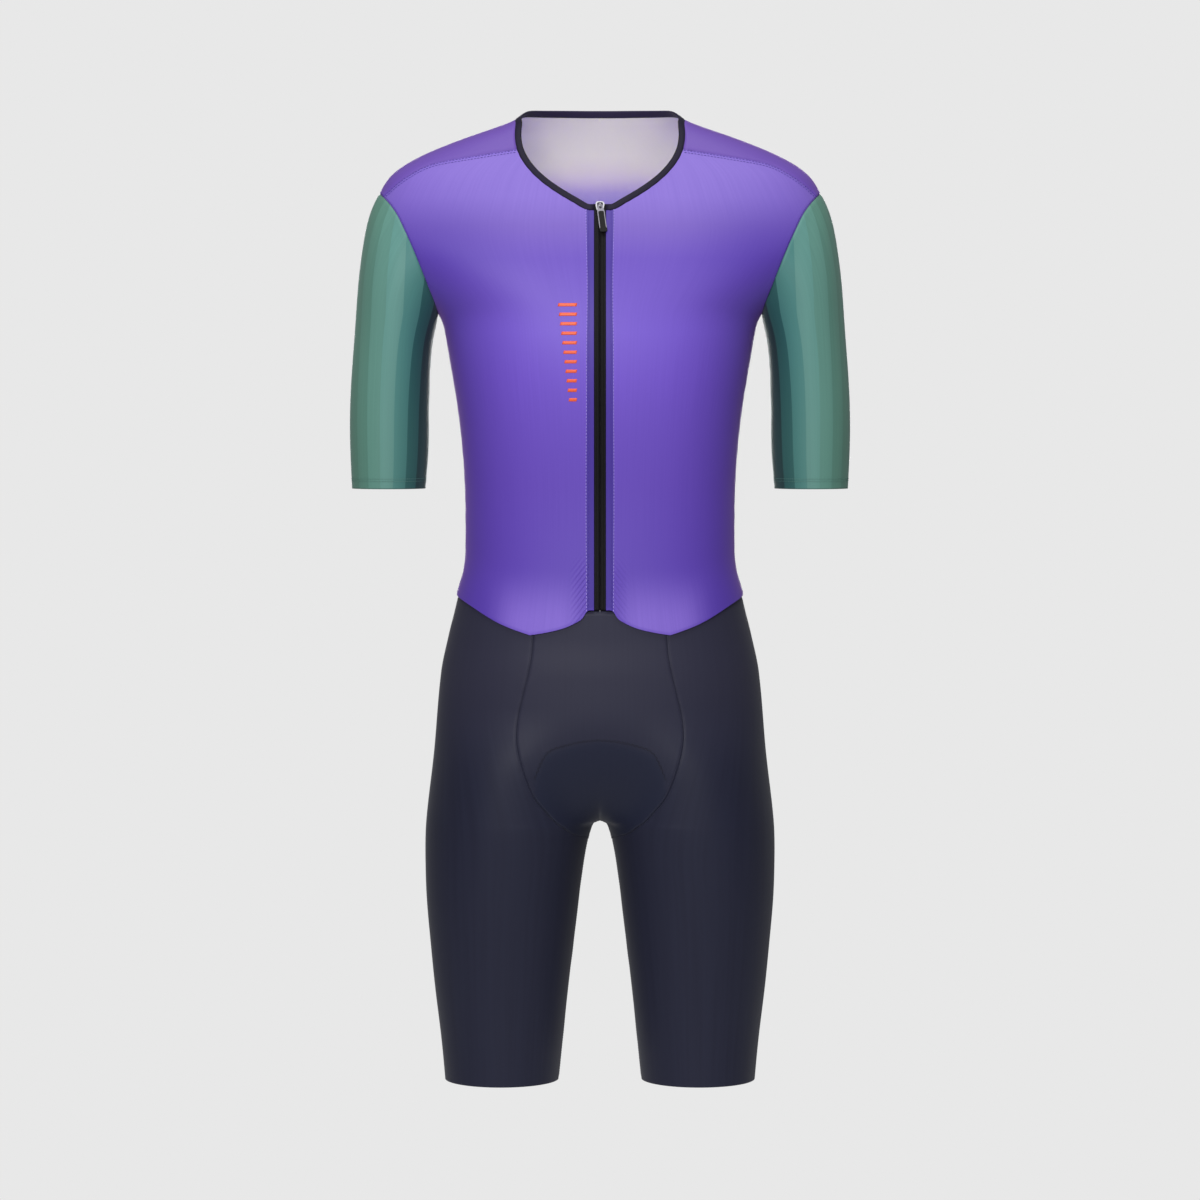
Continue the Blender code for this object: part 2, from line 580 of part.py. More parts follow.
def make_binding(material):
    """The band round the neck, set on the seam's own points and turned up from it."""
    line = joined(FRONT_NECK, BACK_NECK)
    seam, normals = form(line[:, 0], line[:, 1]), form_normal(line[:, 0], line[:, 1])
    along = np.gradient(seam, axis=0)
    along[-1] = (-1, 0, 0)
    up = unit(np.cross(along, normals))
    up *= np.sign(up[-1, 2])
    up[0, 0] = 0
    up = unit(up) * (BIND_WIDTH + BIND_BACK * ease(line[:, 0] - BIND_TURN))[:, None]
    outer = np.stack([seam + up * away + normals * BIND_LIFT * lift
                      for away, lift in BIND_PROFILE], axis=0)
    inner = np.stack([seam + up * away - normals * WALL for away, lift in BIND_PROFILE], axis=0)
    outer, inner = outer[::-1], inner[::-1]
    for layer in (outer, inner):
        layer[:, -1, 0] = 0
    wall("neck_binding", [(outer, inner), (mirrored(outer), mirrored(inner))], material)


def make_shorts(material):
    def sunk(chart):
        high, low = TUCK_FADE
        return chart_grid(chart, TUCK_SINK * ease((chart[..., 1] - low) / (high - low)))

    points, normals = sunk(chart_gusset())
    points = on_middle(seam_gap(points, normals, "right", "bottom"))
    outer, inner = cloth(points, normals)
    wall("shorts_front", [(mirrored(outer), mirrored(inner)), (outer, inner)], material)

    points, normals = sunk(chart_leg())
    points = seam_gap(points, normals, "left", "right")
    make_pair("leg", *cloth(points, normals), material)


def make_pad(material):
    """The pad inside the shorts, in four quarters that share their edges."""
    front = chart_pad()
    back = np.stack((math.pi - front[..., 0] * PAD_WIDER, front[..., 1]), axis=-1)
    inward = np.linspace(1, 0, PAD_COLUMNS + 1)[None, :]
    down = np.linspace(0, 1, PAD_ROWS + 1)[:, None]
    full = np.sqrt(ease(inward * 2) * ease(down * 2))
    thin, thick = PAD_THICK
    thickness = (thin + (thick - thin) * full)[..., None]
    quarters = [chart_grid(chart, PAD_SINK) for chart in (front, back)]
    for of_front, of_back in zip(*quarters):
        of_back[-1] = of_front[-1]
    layers = []
    for (points, normals), order in zip(quarters, (1, -1)):
        outer, inner = (layer[:, ::order] for layer in cloth(points, normals, thickness))
        layers += [(outer, inner), (mirrored(outer), mirrored(inner))]
    wall("chamois_pad", layers, material)


def make_zip_tapes(material):
    z = np.linspace(ZIP_TOP, ZIP_BOTTOM, TAPE_ROWS + 1)
    z[1] = PARTING_END + 2 * MM
    inner_edge = SEAM / 2 + (TAPE_PARTING - SEAM / 2) * (z > PARTING_END)
    x = np.stack((inner_edge, np.full(z.shape, ZIP_HALF), np.full(z.shape, TAPE_HALF)), axis=-1)
    height = np.repeat(z[:, None], 3, axis=1)
    chart = np.stack((front_turn(x, height), height), axis=-1)
    points, normals = chart_grid(chart, TAPE_SINK)
    make_pair("zip_tape", *cloth(points, normals), material)


def slider_frame():
    """Axes of the slider: across, up along the zip, and out from the chest."""
    origin = form(0, SLIDER_AT)
    out = form_normal(0, SLIDER_AT)
    across = np.array((1.0, 0.0, 0.0))
    up = np.cross(out, across)
    frame = np.eye(4)
    frame[:3, 0], frame[:3, 1], frame[:3, 2], frame[:3, 3] = across, up, out, origin
    return Matrix(frame.tolist())


def make_box(name, half, along, out, frame, material, round_edge=0.25 * MM):
    low, high = [Vector((side * half, along[k], out[k])) * MM
                 for k, side in ((0, -1), (1, 1))]
    shape = bmesh.new()
    bmesh.ops.create_cube(shape, size=1)
    for corner in shape.verts:
        share = corner.co + Vector((0.5, 0.5, 0.5))
        corner.co = [low[k] + (high[k] - low[k]) * share[k] for k in range(3)]
    bmesh.ops.bevel(shape, geom=shape.edges[:], offset=round_edge, segments=1,
                    affect="EDGES", clamp_overlap=True)
    mesh = bpy.data.meshes.new(name)
    shape.to_mesh(mesh)
    shape.free()
    mesh.materials.append(material)
    piece = bpy.data.objects.new(name, mesh)
    bpy.context.scene.collection.objects.link(piece)
    piece.matrix_world = frame
    return piece


def make_slider(material):
    frame = slider_frame()
    parts = [make_box("zip_slider" if name == "front" else "fuse_" + name,
                      half, along, out, frame, material)
             for name, (half, along, out) in SLIDER.items()]
    for other in parts[1:]:
        other.hide_render = True
        other.display_type = "WIRE"
        fuse = parts[0].modifiers.new("fuse " + other.name, "BOOLEAN")
        fuse.operation = "UNION"
        fuse.object = other


def make_pull(material):
    """A flat tab with an eye that the slider's arch passes through; its origin is its pin."""
    frame = (slider_frame() @ Matrix.Translation((0, 0, PIN_OUT))
             @ Matrix.Rotation(PULL_TILT, 4, "Z"))
    half_eye, (eye_low, eye_high) = PULL_EYE
    outer = list(reversed(PULL_OUTLINE))
    eye = [(-half_eye, eye_low), (half_eye, eye_low), (half_eye, eye_high),
           (-half_eye, eye_high)]
    shape = bmesh.new()
    loops = []
    for outline_points in (outer, eye):
        corners = [shape.verts.new((x * MM, y * MM, -PULL_THICK / 2)) for x, y in outline_points]
        loops += [shape.edges.new((a, b)) for a, b in zip(corners, corners[1:] + corners[:1])]
    filled = bmesh.ops.triangle_fill(shape, edges=loops, use_beauty=True)
    faces = [item for item in filled["geom"] if isinstance(item, bmesh.types.BMFace)]
    raised = bmesh.ops.extrude_face_region(shape, geom=faces)
    for item in raised["geom"]:
        if isinstance(item, bmesh.types.BMVert):
            item.co.z += PULL_THICK
    bmesh.ops.recalc_face_normals(shape, faces=shape.faces[:])
    mesh = bpy.data.meshes.new("zip_pull")
    shape.to_mesh(mesh)
    shape.free()
    mesh.materials.append(material)
    pull = bpy.data.objects.new("zip_pull", mesh)
    bpy.context.scene.collection.objects.link(pull)
    pull.matrix_world = frame


def build():
    for old in list(bpy.data.objects):
        bpy.data.objects.remove(old, do_unlink=True)
    material = {name: make_material(name) for name in COLOURS}
    make_fronts(material["jersey"])
    make_back(material["jersey"])
    make_sleeves(material["sleeve"])
    make_binding(material["binding"])
    make_shorts(material["shorts"])
    make_pad(material["pad"])
    make_zip_tapes(material["zip"])
    make_slider(material["metal"])
    make_pull(material["zip"])


build()
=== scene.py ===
"""The looks of the cycling skinsuit: its cloth, sewing, zip and printed bars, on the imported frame.

+X is the wearer's left, the front faces -Y and +Z is up, in metres. Every cloth is a thin shell
on the form that its solid has. A point of that form is named by its chart: the turn, 0 at the
centre front, 90 degrees at the side and 180 at the centre back, and the height z. Below the
crotch the turn runs once round each leg, from its inside to its outside and back.
"""
import math

import bmesh
import bpy
import numpy as np
from mathutils import Matrix, Vector


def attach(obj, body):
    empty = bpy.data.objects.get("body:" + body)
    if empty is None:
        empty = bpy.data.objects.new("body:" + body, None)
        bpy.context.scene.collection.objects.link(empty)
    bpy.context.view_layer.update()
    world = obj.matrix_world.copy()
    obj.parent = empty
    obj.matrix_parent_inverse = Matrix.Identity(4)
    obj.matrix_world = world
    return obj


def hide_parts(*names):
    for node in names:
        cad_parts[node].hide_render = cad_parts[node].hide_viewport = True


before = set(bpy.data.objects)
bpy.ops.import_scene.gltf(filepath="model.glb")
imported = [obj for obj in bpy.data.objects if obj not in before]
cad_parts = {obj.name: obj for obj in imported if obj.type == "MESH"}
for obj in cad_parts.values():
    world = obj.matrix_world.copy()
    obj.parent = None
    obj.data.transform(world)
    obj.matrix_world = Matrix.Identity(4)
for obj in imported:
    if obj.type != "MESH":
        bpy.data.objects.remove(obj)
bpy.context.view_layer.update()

MM = 0.001
CLOTH = 0.8 * MM                # thickness of the knit
SOLID_WALL = 1.2 * MM           # and of the wall that stands for it in the solids
SEAM = 0.3 * MM                 # between two cloths that are sewn edge to edge
MERGE = 1e-6                    # points nearer than this are one point
LINE_POINTS = 400               # points of a line before it is parted into stations
TURN_LENGTH = 0.15              # cloth to a radian of turn, roughly
LEG_TURN_LENGTH = 0.075         # and round a leg
FINE = 4                        # fields of the shell to one field of the solid

# ---------------------------------------------------------------- sizes of the solids
CROTCH = -723.6 * MM
LEG_HEM = -995 * MM
SIDE_HEM = -487.3 * MM          # lower edge of the jersey at the side seam
BACK_HEM = -497 * MM            # and at the centre back
HALF_BACK = math.radians(135)   # turn midway between them
HEM_RISE = 3 * MM               # how much higher than at the centre back the hem is there
HIP_FRONT = (math.radians(55), -492 * MM)   # a point of the shorts' upper edge
ARMPIT = -197.2 * MM
UPPER_BACK = 22 * MM            # the back's upper rows end so far below the armpit
SHOULDER_TIP = -73.8 * MM       # highest point of the armhole
SPLIT_TOP = -600 * MM           # the trunk starts to part into legs
SPLIT_END = -775 * MM           # and has parted all round
ARCH = 4.5 * MM                 # how fast the gap between the legs opens in the middle
ARCH_END = -800 * MM            # and where it has opened all round
CROTCH_CURVE = 2.4              # exponent of the crotch's curve, seen from the side
GROOVE = 0.35                   # rounding of the valley between the thighs
MIDDLE_WIDTH = 0.35             # sine of the turn up to which the crotch shapes the ring
GUSSET_END = -745 * MM          # the centre-front panel ends here, inside each thigh

ZIP_HALF = 6.1 * MM             # half of the zip's visible width
ZIP_TOP, ZIP_BOTTOM = -86.7 * MM, -500.8 * MM
TAPE_HALF = 10 * MM             # from the middle to the tape's outer edge
TAPE_SINK = SOLID_WALL + SEAM         # the tape lies under the jersey's edges
TAPE_PARTING = 2.0 * MM         # the tapes part round the slider's post
PARTING_END = -96 * MM

TUCK = 12 * MM                  # how far the shorts run up under the jersey
TUCK_SINK = SOLID_WALL + 0.9 * MM
TUCK_FADE = (-530 * MM, -570 * MM)
SHORTS_FRONT_TOP = -501.6 * MM

BIND_WIDTH = 6.4 * MM           # at the front
BIND_BACK = 0.8 * MM            # how much wider it is behind the neck
BIND_TURN = math.radians(60)    # and the turn from which it widens
BIND_LIFT = 0.7 * MM
BIND_SECTION = (                # share of width, share of lift, thickness in mm
    (-0.09, -0.6, 1.0), (-0.03, 0.3, 1.7), (0.08, 0.85, 2.2), (0.3, 1.15, 2.5), (0.55, 1.2, 2.5),
    (0.8, 1.0, 2.3), (0.93, 0.55, 1.9), (1, -0.4, 1.0))

# rows and columns of each patch
NECK_COLUMNS, SHOULDER_COLUMNS = 6 * FINE, 9 * FINE
ARMHOLE_FRONT, ARMHOLE_BACK = 11 * FINE, 15 * FINE
SIDE_ROWS = 13 * FINE
NECK_ROWS = 7 * FINE
SLEEVE_ROWS = 11 * FINE
GUSSET_COLUMNS, GUSSET_ROWS = 5 * FINE, 15 * FINE
PAD_COLUMNS, PAD_ROWS = 6 * FINE, 9 * FINE
LEG_COLUMNS, LEG_LOWER_ROWS = 21 * FINE, 9 * FINE


def columns(names, rows):
    """A short table in millimetres, as one array in metres under each column's name."""
    values = np.array(rows, float) * MM
    return dict(zip(names, values.T))


# half-width of the suit; between the shoulder tips and the armpits it passes the armhole seams
OUTLINE = columns(("z", "half"), (
    (16, 75), (8, 80.5), (4, 85.5), (-4, 104), (-14, 133), (-26, 165), (-40, 195), (-55, 216),
    (-71, 226.8), (-92, 237.5), (-111, 244), (-128, 240), (-145, 227), (-163, 207), (-180, 186),
    (-197, 168), (-213, 161.5), (-242, 156.3), (-290, 148.3), (-335, 143), (-383, 140),
    (-430, 139.6), (-461, 141.5), (-488, 149), (-507, 153.6), (-523, 157.8), (-541, 161.6),
    (-565, 165), (-600, 168.7), (-650, 172.8), (-700, 178.7), (-735, 181.8), (-765, 182),
    (-800, 181), (-850, 176.9), (-900, 172), (-950, 166), (-995, 161.8)))

# front and back depth, the depth of the widest point, and squareness in thousandths
TRUNK = columns(("z", "front", "back", "side", "square"), (
    (16, -20, 57, 0, 0), (0, -27, 66, 0, 0), (-15, -33, 73, 0, 4), (-33, -42, 80, 0, 9),
    (-60, -57, 89, 0, 16), (-90, -73, 97, 0, 20), (-120, -88, 103, 0, 20),
    (-155, -101, 108, 0, 20), (-200, -111, 110, 0, 22), (-245, -114, 106, 0, 24),
    (-310, -109, 96, 0, 24), (-380, -100, 87, 0, 22), (-440, -97, 88, 0, 20),
    (-500, -97, 99, 2, 18), (-560, -97, 111, 5, 15), (-620, -97, 117, 7, 12),
    (-680, -96, 114, 6, 8), (-735, -94, 104, 4, 4), (-790, -89, 92, 2, 0)))

# each leg; inner is its distance from the middle, before the arch at the crotch
LEG = columns(("z", "inner", "front", "back"), (
    (-600, 4, -92, 104), (-680, 8, -94, 103), (-729, 12.1, -94, 100), (-760, 16.7, -91, 92),
    (-800, 21.6, -86, 85), (-850, 27.5, -79, 78), (-900, 33.2, -72, 72), (-950, 38.6, -66, 67),
    (-995, 43.2, -62, 64)))

NECK_FRONT = -93.1 * MM         # where the neck seam meets the zip
# neck seam: the height of the binding's lower edge at each turn, in degrees and millimetres
NECK_SEAM = ((0, -93.1), (2.4, -93.1), (3.3, -92.3), (4.6, -89.2), (8.4, -79.7), (14.7, -63.2),
             (19.3, -50.2), (26, -34.3), (39.3, -15.2), (50, -7.3), (60, -2.5), (75, 1.4),
             (90, 4.4), (105, 7.2), (125, 8.4), (150, 9.2), (180, 9.5))
NECK_CORNER = 28.5              # turn at which the shoulder seam leaves the neck seam

# seams that the front shows, as x and z
SHOULDER_SEAM = ((112, -33.6), (139, -37.8), (162, -41.6), (178, -46), (196.5, -55.5),
                 (210, -65))
HEM_INNER = ((12.7, -501.3), (17, -507.7), (24, -513.2), (37, -519.1), (49, -522.4),
             (62, -525), (71.8, -526.5))
HEM_OUTER = ((85, -522.2), (101.5, -515.9), (115, -509), (131.5, -499.2))
CENTRE_SEAM = ((68, -504), (69, -530), (71, -553), (75.5, -575), (81, -597), (85, -618),
               (85, -638), (80.5, -658), (74, -677), (65.5, -695), (54, -709), (40, -723),
               (26, -734), (14, -740))

# edge of the pad, which lies against the shorts from front to back; it shows through them
PAD_EDGE = ((43, -639.3), (58, -651.5), (66.2, -669.9), (67.5, -690), (62, -715), (45, -742))
PAD_TOP = -633.2 * MM
PAD_END = -765 * MM             # lowest point of its wing on the inner thigh
PAD_WIDER = 1.3                 # it is so much wider behind than in front
PAD_THICK = (1.6 * MM, 6 * MM)  # at the edge and in the middle
PAD_SINK = SOLID_WALL + 2.8 * MM
PAD_ARC = ((0, -633.2), (24, -636), (43, -641), (58, -652.5), (67.5, -675))   # its upper edge
PAD_RISE = 1.2 * MM             # width over which its edge shows
PAD_SHOWS = 0.5 * MM            # how far it pushes the shorts out

# the armhole is an oval on the chart, wider at the front than at the back
ARMHOLE_TURN = math.radians(36.2)
ARMHOLE_FORWARD = math.radians(2.2)
ARMHOLE_EGG = 0.12
TIP_ANGLE = math.radians(-21)   # where the shoulder seam meets the armhole

# sleeve rings, from the armhole to the cuff: outermost and innermost point, and half-depth
SLEEVE = columns(("outer_x", "outer_z", "inner_x", "inner_z", "deep"), (
    (226.7, -73.8, 168, -197.2, 62), (232.5, -84, 168.6, -201, 62),
    (239.5, -102, 169.9, -208.5, 62), (245.5, -130, 172.8, -222, 61),
    (250.5, -168, 175.4, -242, 58), (254, -215, 177, -270, 54), (258, -268, 177.8, -306, 50.5),
    (259.5, -322, 178.6, -343, 48.5), (257.4, -378.5, 181.4, -378.5, 47)))
SLEEVE_TURN_LENGTH, SLEEVE_RING_LENGTH = 0.055, 0.035   # cloth to a radian and to a ring
ARMHOLE_REACH = 4               # rings over which the armhole's own shape fades out

# zip slider and pull
SLIDER_AT = -89.5 * MM          # the slider's middle
PIN_OUT = 1.5 * MM              # how far the tab's pin stands out from the zip
PULL_TILT = math.radians(7)     # the tab hangs so much to one side


# ---------------------------------------------------------------- curves
def smooth(knots, values):
    """A natural cubic spline through the points, as a function."""
    order = np.argsort(knots)
    x, y = np.asarray(knots, float)[order], np.asarray(values, float)[order]
    step = np.diff(x)
    system, right = np.eye(len(x)), np.zeros(len(x))
    for i in range(1, len(x) - 1):
        system[i, i - 1:i + 2] = step[i - 1], 2 * (step[i - 1] + step[i]), step[i]
        right[i] = 6 * ((y[i + 1] - y[i]) / step[i] - (y[i] - y[i - 1]) / step[i - 1])
    bend = np.linalg.solve(system, right)

    def at(position):
        position = np.asarray(position, float)
        k = np.clip(np.searchsorted(x, position) - 1, 0, len(x) - 2)
        before, after, h = position - x[k], x[k + 1] - position, step[k]
        curve = (bend[k] * after ** 3 + bend[k + 1] * before ** 3) / (6 * h)
        return (curve + (y[k] / h - bend[k] * h / 6) * after
                + (y[k + 1] / h - bend[k + 1] * h / 6) * before)
    return at


def ease(value):
    """0 to 1 with a level start and end."""
    value = np.clip(value, 0, 1)
    return value * value * (3 - 2 * value)


def by_height(table):
    """A smooth function of the height for each column of a table."""
    return {name: smooth(table["z"], column) for name, column in table.items() if name != "z"}


outline = smooth(OUTLINE["z"], OUTLINE["half"])
trunk = by_height(TRUNK)
leg = by_height(LEG)
neck_height = smooth([math.radians(turn) for turn, z in NECK_SEAM],
                     [z * MM for turn, z in NECK_SEAM])


# ---------------------------------------------------------------- the form
def arch_share(z):
    """How far the middle of the trunk has become legs: 0 above, 1 from the crotch down."""
    fall = np.clip((SPLIT_TOP - z) / (SPLIT_TOP - CROTCH), 0, 1)
    return 1 - (1 - fall ** CROTCH_CURVE) ** (1 / CROTCH_CURVE)


def kept_depth(share):
    """Depth of a ring part of the way from an ellipse to two legs, as a share of full depth."""
    rest = 1 - share
    sine = 4 * share / (rest + np.sqrt(rest ** 2 + 32 * share ** 2))
    return np.sqrt(1 - sine ** 2) * (rest + 2 * share * sine)


def form(turn, z):
    """Points of the suit's outer surface on the wearer's left, from the chart."""
    turn, z = np.broadcast_arrays(np.asarray(turn, float), np.asarray(z, float))
    half, square = outline(z), trunk["square"](z)
    front, back = trunk["front"](z), trunk["back"](z)
    middle, deep = (front + back) / 2, (back - front) / 2
    body_x = half * (np.sin(turn) + square * np.sin(3 * turn)) / (1 - square)
    body_y = middle - deep * (np.cos(turn) - square * np.cos(3 * turn)) / (1 - square)
    body_y = body_y + (trunk["side"](z) - middle) * np.sin(turn) ** 2

    arch = arch_share(z)
    near = np.exp(-(np.sin(turn) / MIDDLE_WIDTH) ** 2)
    below = np.maximum(CROTCH - z, 0)
    opened = near * (1 - np.exp(-np.sqrt(below / ARCH)))
    opened = opened + (1 - near) * ease((SPLIT_TOP - z) / (SPLIT_TOP - ARCH_END))
    leg_x = half * np.sin(turn) ** 2 + leg["inner"](z) * opened * np.cos(turn) ** 2
    leg_front, leg_back = leg["front"](z), leg["back"](z)
    groove = GROOVE * np.clip((z - CROTCH) / (SPLIT_TOP - CROTCH), 0, 1)
    round_leg = np.sqrt(np.sin(2 * turn) ** 2 + groove ** 2) - groove
    round_leg = round_leg / (np.sqrt(1 + groove ** 2) - groove)
    round_leg = round_leg * np.where(turn > math.pi / 2, -1, 1)
    leg_y = (leg_front + leg_back) / 2 - (leg_back - leg_front) / 2 * round_leg

    parted = ease((SPLIT_TOP - z) / (SPLIT_TOP - SPLIT_END))
    share = near * arch + (1 - near) * parted
    x = body_x * (1 - share) + leg_x * share
    y = body_y * (1 - share) + leg_y * share
    fuller = 1 + (1 / kept_depth(parted) - 1) * (1 - near)
    return np.stack((x, middle + (y - middle) * fuller, z), axis=-1)


def unit(vectors):
    return vectors / np.linalg.norm(vectors, axis=-1, keepdims=True)


STEP_TURN, STEP_Z = 1e-4, 1e-5  # steps by which directions are found
ON_MIDDLE = 1e-9                # sine of the turn under which a point is on the middle plane
HALVINGS = 40                   # steps in the search for a turn


def form_normal(turn, z):
    """Outward directions of the form; a small step down keeps to the crotch's lower side."""
    turn, z = np.broadcast_arrays(np.asarray(turn, float), np.asarray(z, float))
    low, high = np.maximum(turn - STEP_TURN, 0), np.minimum(turn + STEP_TURN, math.pi)
    normal = np.cross(form(high, z) - form(low, z), form(turn, z) - form(turn, z - STEP_Z))
    on_middle = (np.abs(np.sin(turn)) < ON_MIDDLE) & (z >= CROTCH - MERGE)
    normal[..., 0] = np.where(on_middle, 0, normal[..., 0])
    return unit(normal)


def front_turn(x, z):
    """The turn at which the front of the form has this x at this height."""
    x, z = np.broadcast_arrays(np.asarray(x, float), np.asarray(z, float))
    low, high = np.zeros(x.shape), np.full(x.shape, math.pi / 2)
    for _ in range(HALVINGS):
        middle = (low + high) / 2
        short = form(middle, z)[..., 0] < x
        low, high = np.where(short, middle, low), np.where(short, high, middle)
    return (low + high) / 2


# ---------------------------------------------------------------- lines on the chart
def front_points(pairs):
    """Seam points given as x and z in millimetres, as chart points."""
    x, z = np.array(pairs, float).T * MM
    return np.stack((front_turn(x, z), z), axis=-1)


def through(points):
    """A smooth line through chart points, as many points."""
    points = np.asarray(points, float)
    span = np.hypot(np.diff(points[:, 0]) * TURN_LENGTH, np.diff(points[:, 1]))
    at = np.concatenate(((0,), np.cumsum(span)))
    fine = np.linspace(0, at[-1], LINE_POINTS)
    return np.stack((smooth(at, points[:, 0])(fine), smooth(at, points[:, 1])(fine)), axis=-1)


def spaced(line, count):
    """Stations that part a chart line into lengths that are equal along the cloth."""
    space = form(line[:, 0], line[:, 1])
    run = np.concatenate(((0,), np.cumsum(np.linalg.norm(np.diff(space, axis=0), axis=1))))
    goal = np.linspace(0, run[-1], count + 1)
    return np.stack([np.interp(goal, run, line[:, k]) for k in (0, 1)], axis=-1)


def joined(*parts):
    """One run of stations from several that meet end to end."""
    return np.concatenate([parts[0]] + [part[1:] for part in parts[1:]])


def straight(start, end):
    """A straight line on the chart."""
    share = np.linspace(0, 1, LINE_POINTS)[:, None]
    return np.asarray(start) * (1 - share) + np.asarray(end) * share


def patch(top, bottom, left, right):
    """A grid of chart points between four runs of stations, rows from top to bottom."""
    u = np.linspace(0, 1, len(top))[None, :, None]
    v = np.linspace(0, 1, len(left))[:, None, None]
    across = left[:, None] * (1 - u) + right[:, None] * u
    down = top[None] * (1 - v) + bottom[None] * v
    corners = ((top[0] * (1 - u) + top[-1] * u) * (1 - v)
               + (bottom[0] * (1 - u) + bottom[-1] * u) * v)
    return across + down - corners


def armhole(angle):
    """Chart points round the armhole: -180 degrees at the armpit, round the front, 0 on top."""
    wide = (ARMHOLE_TURN - ARMHOLE_FORWARD * np.sin(angle)) * (1 + ARMHOLE_EGG * np.cos(angle))
    middle, half = (SHOULDER_TIP + ARMPIT) / 2, (SHOULDER_TIP - ARMPIT) / 2
    return np.stack((math.pi / 2 + wide * np.sin(angle), middle + half * np.cos(angle)), axis=-1)


def neck_line(start, end):
    """The neck seam between two turns."""
    turn = np.linspace(start, end, LINE_POINTS)
    return np.stack((turn, neck_height(turn)), axis=-1)


# ---------------------------------------------------------------- stations shared by pieces
NECK_START = np.array((front_turn(ZIP_HALF, NECK_FRONT), NECK_FRONT))
CORNER_TURN = math.radians(NECK_CORNER)
ARMHOLE_ANGLES = np.concatenate((
    np.linspace(-math.pi, TIP_ANGLE, ARMHOLE_FRONT + 1),
    np.linspace(TIP_ANGLE, math.pi, ARMHOLE_BACK + 1)[1:]))
FRONT_ARMHOLE = armhole(ARMHOLE_ANGLES[:ARMHOLE_FRONT + 1])[::-1]
BACK_ARMHOLE = armhole(ARMHOLE_ANGLES[ARMHOLE_FRONT:])
SIDE = spaced(straight((math.pi / 2, ARMPIT), (math.pi / 2, SIDE_HEM)), SIDE_ROWS)
FRONT_NECK = spaced(neck_line(NECK_START[0], CORNER_TURN), NECK_COLUMNS)
BACK_NECK = spaced(neck_line(CORNER_TURN, math.pi), NECK_ROWS)
SHOULDER = spaced(through(np.concatenate((
    FRONT_NECK[-1:], front_points(SHOULDER_SEAM), FRONT_ARMHOLE[:1]))), SHOULDER_COLUMNS)
CROTCH_POINT = (0, CROTCH)
GUSSET_EDGE = spaced(straight(CROTCH_POINT, (0, GUSSET_END)), GUSSET_COLUMNS)
CENTRE = spaced(through(np.concatenate((
    front_points(CENTRE_SEAM), ((0, GUSSET_END),)))), GUSSET_ROWS)


def chart_front():
    """The jersey's front half, from the zip to the armhole and the side seam."""
    zip_z = np.linspace(NECK_START[1], ZIP_BOTTOM, LINE_POINTS)
    zip_edge = np.stack((front_turn(ZIP_HALF, zip_z), zip_z), axis=-1)
    inner = through(np.concatenate((zip_edge[-1:], front_points(HEM_INNER))))
    outer = through(np.concatenate((
        front_points(HEM_INNER[-1:] + HEM_OUTER), ((math.pi / 2, SIDE_HEM),))))
    hem = joined(spaced(inner, NECK_COLUMNS), spaced(outer, SHOULDER_COLUMNS))
    return patch(joined(FRONT_NECK, SHOULDER), hem,
                 spaced(zip_edge, ARMHOLE_FRONT + SIDE_ROWS), joined(FRONT_ARMHOLE, SIDE))


def chart_back():
    """Half of the jersey's back, which comes over the shoulder to the shoulder seam."""
    level = ARMPIT - UPPER_BACK
    upper = spaced(straight(BACK_NECK[-1], (math.pi, level)), ARMHOLE_BACK - NECK_ROWS)
    lower = spaced(straight((math.pi, level), (math.pi, BACK_HEM)), SIDE_ROWS)
    hem = through(((math.pi, BACK_HEM), (HALF_BACK, BACK_HEM + HEM_RISE),
                   (math.pi / 2, SIDE_HEM)))
    return patch(SHOULDER, spaced(hem, SHOULDER_COLUMNS),
                 joined(BACK_NECK, upper, lower), joined(BACK_ARMHOLE, SIDE))


def chart_gusset():
    """Half of the shorts' centre front, which ends between the thighs."""
    middle = spaced(straight((0, SHORTS_FRONT_TOP), CROTCH_POINT), GUSSET_ROWS)
    top = spaced(straight(middle[0], CENTRE[0]), GUSSET_COLUMNS)
    return patch(top, GUSSET_EDGE, middle, CENTRE)


def chart_pad():
    """A quarter of the pad: its front on one side, as far as the inner thigh's middle line."""
    middle = spaced(straight((0, PAD_TOP), CROTCH_POINT), PAD_ROWS)
    edge = spaced(through(np.concatenate((front_points(PAD_EDGE), ((0, PAD_END),)))), PAD_ROWS)
    top = spaced(straight(middle[0], edge[0]), PAD_COLUMNS)
    return patch(top, spaced(straight(CROTCH_POINT, (0, PAD_END)), PAD_COLUMNS), middle, edge)


def chart_leg():
    """One leg of the shorts, from the centre-front seam round the outside to the back."""
    side_top, back_top = SIDE_HEM + TUCK, BACK_HEM + TUCK
    top = through((CENTRE[0], HIP_FRONT, (math.pi / 2, side_top),
                   (HALF_BACK, (side_top + back_top) / 2), (math.pi, back_top)))
    inseam = spaced(straight((0, GUSSET_END), (0, LEG_HEM)), LEG_LOWER_ROWS)
    half_turn = np.array((math.pi, 0))
    back = joined(
        spaced(straight((math.pi, back_top), (math.pi, CROTCH)), GUSSET_ROWS - GUSSET_COLUMNS),
        GUSSET_EDGE + half_turn, inseam + half_turn)
    hem = spaced(straight((0, LEG_HEM), (math.pi, LEG_HEM)), LEG_COLUMNS)
    return patch(spaced(top, LEG_COLUMNS), hem, joined(CENTRE, inseam), back)


# ---------------------------------------------------------------- the sleeve
sleeve_ring = {name: smooth(range(len(column)), column) for name, column in SLEEVE.items()}


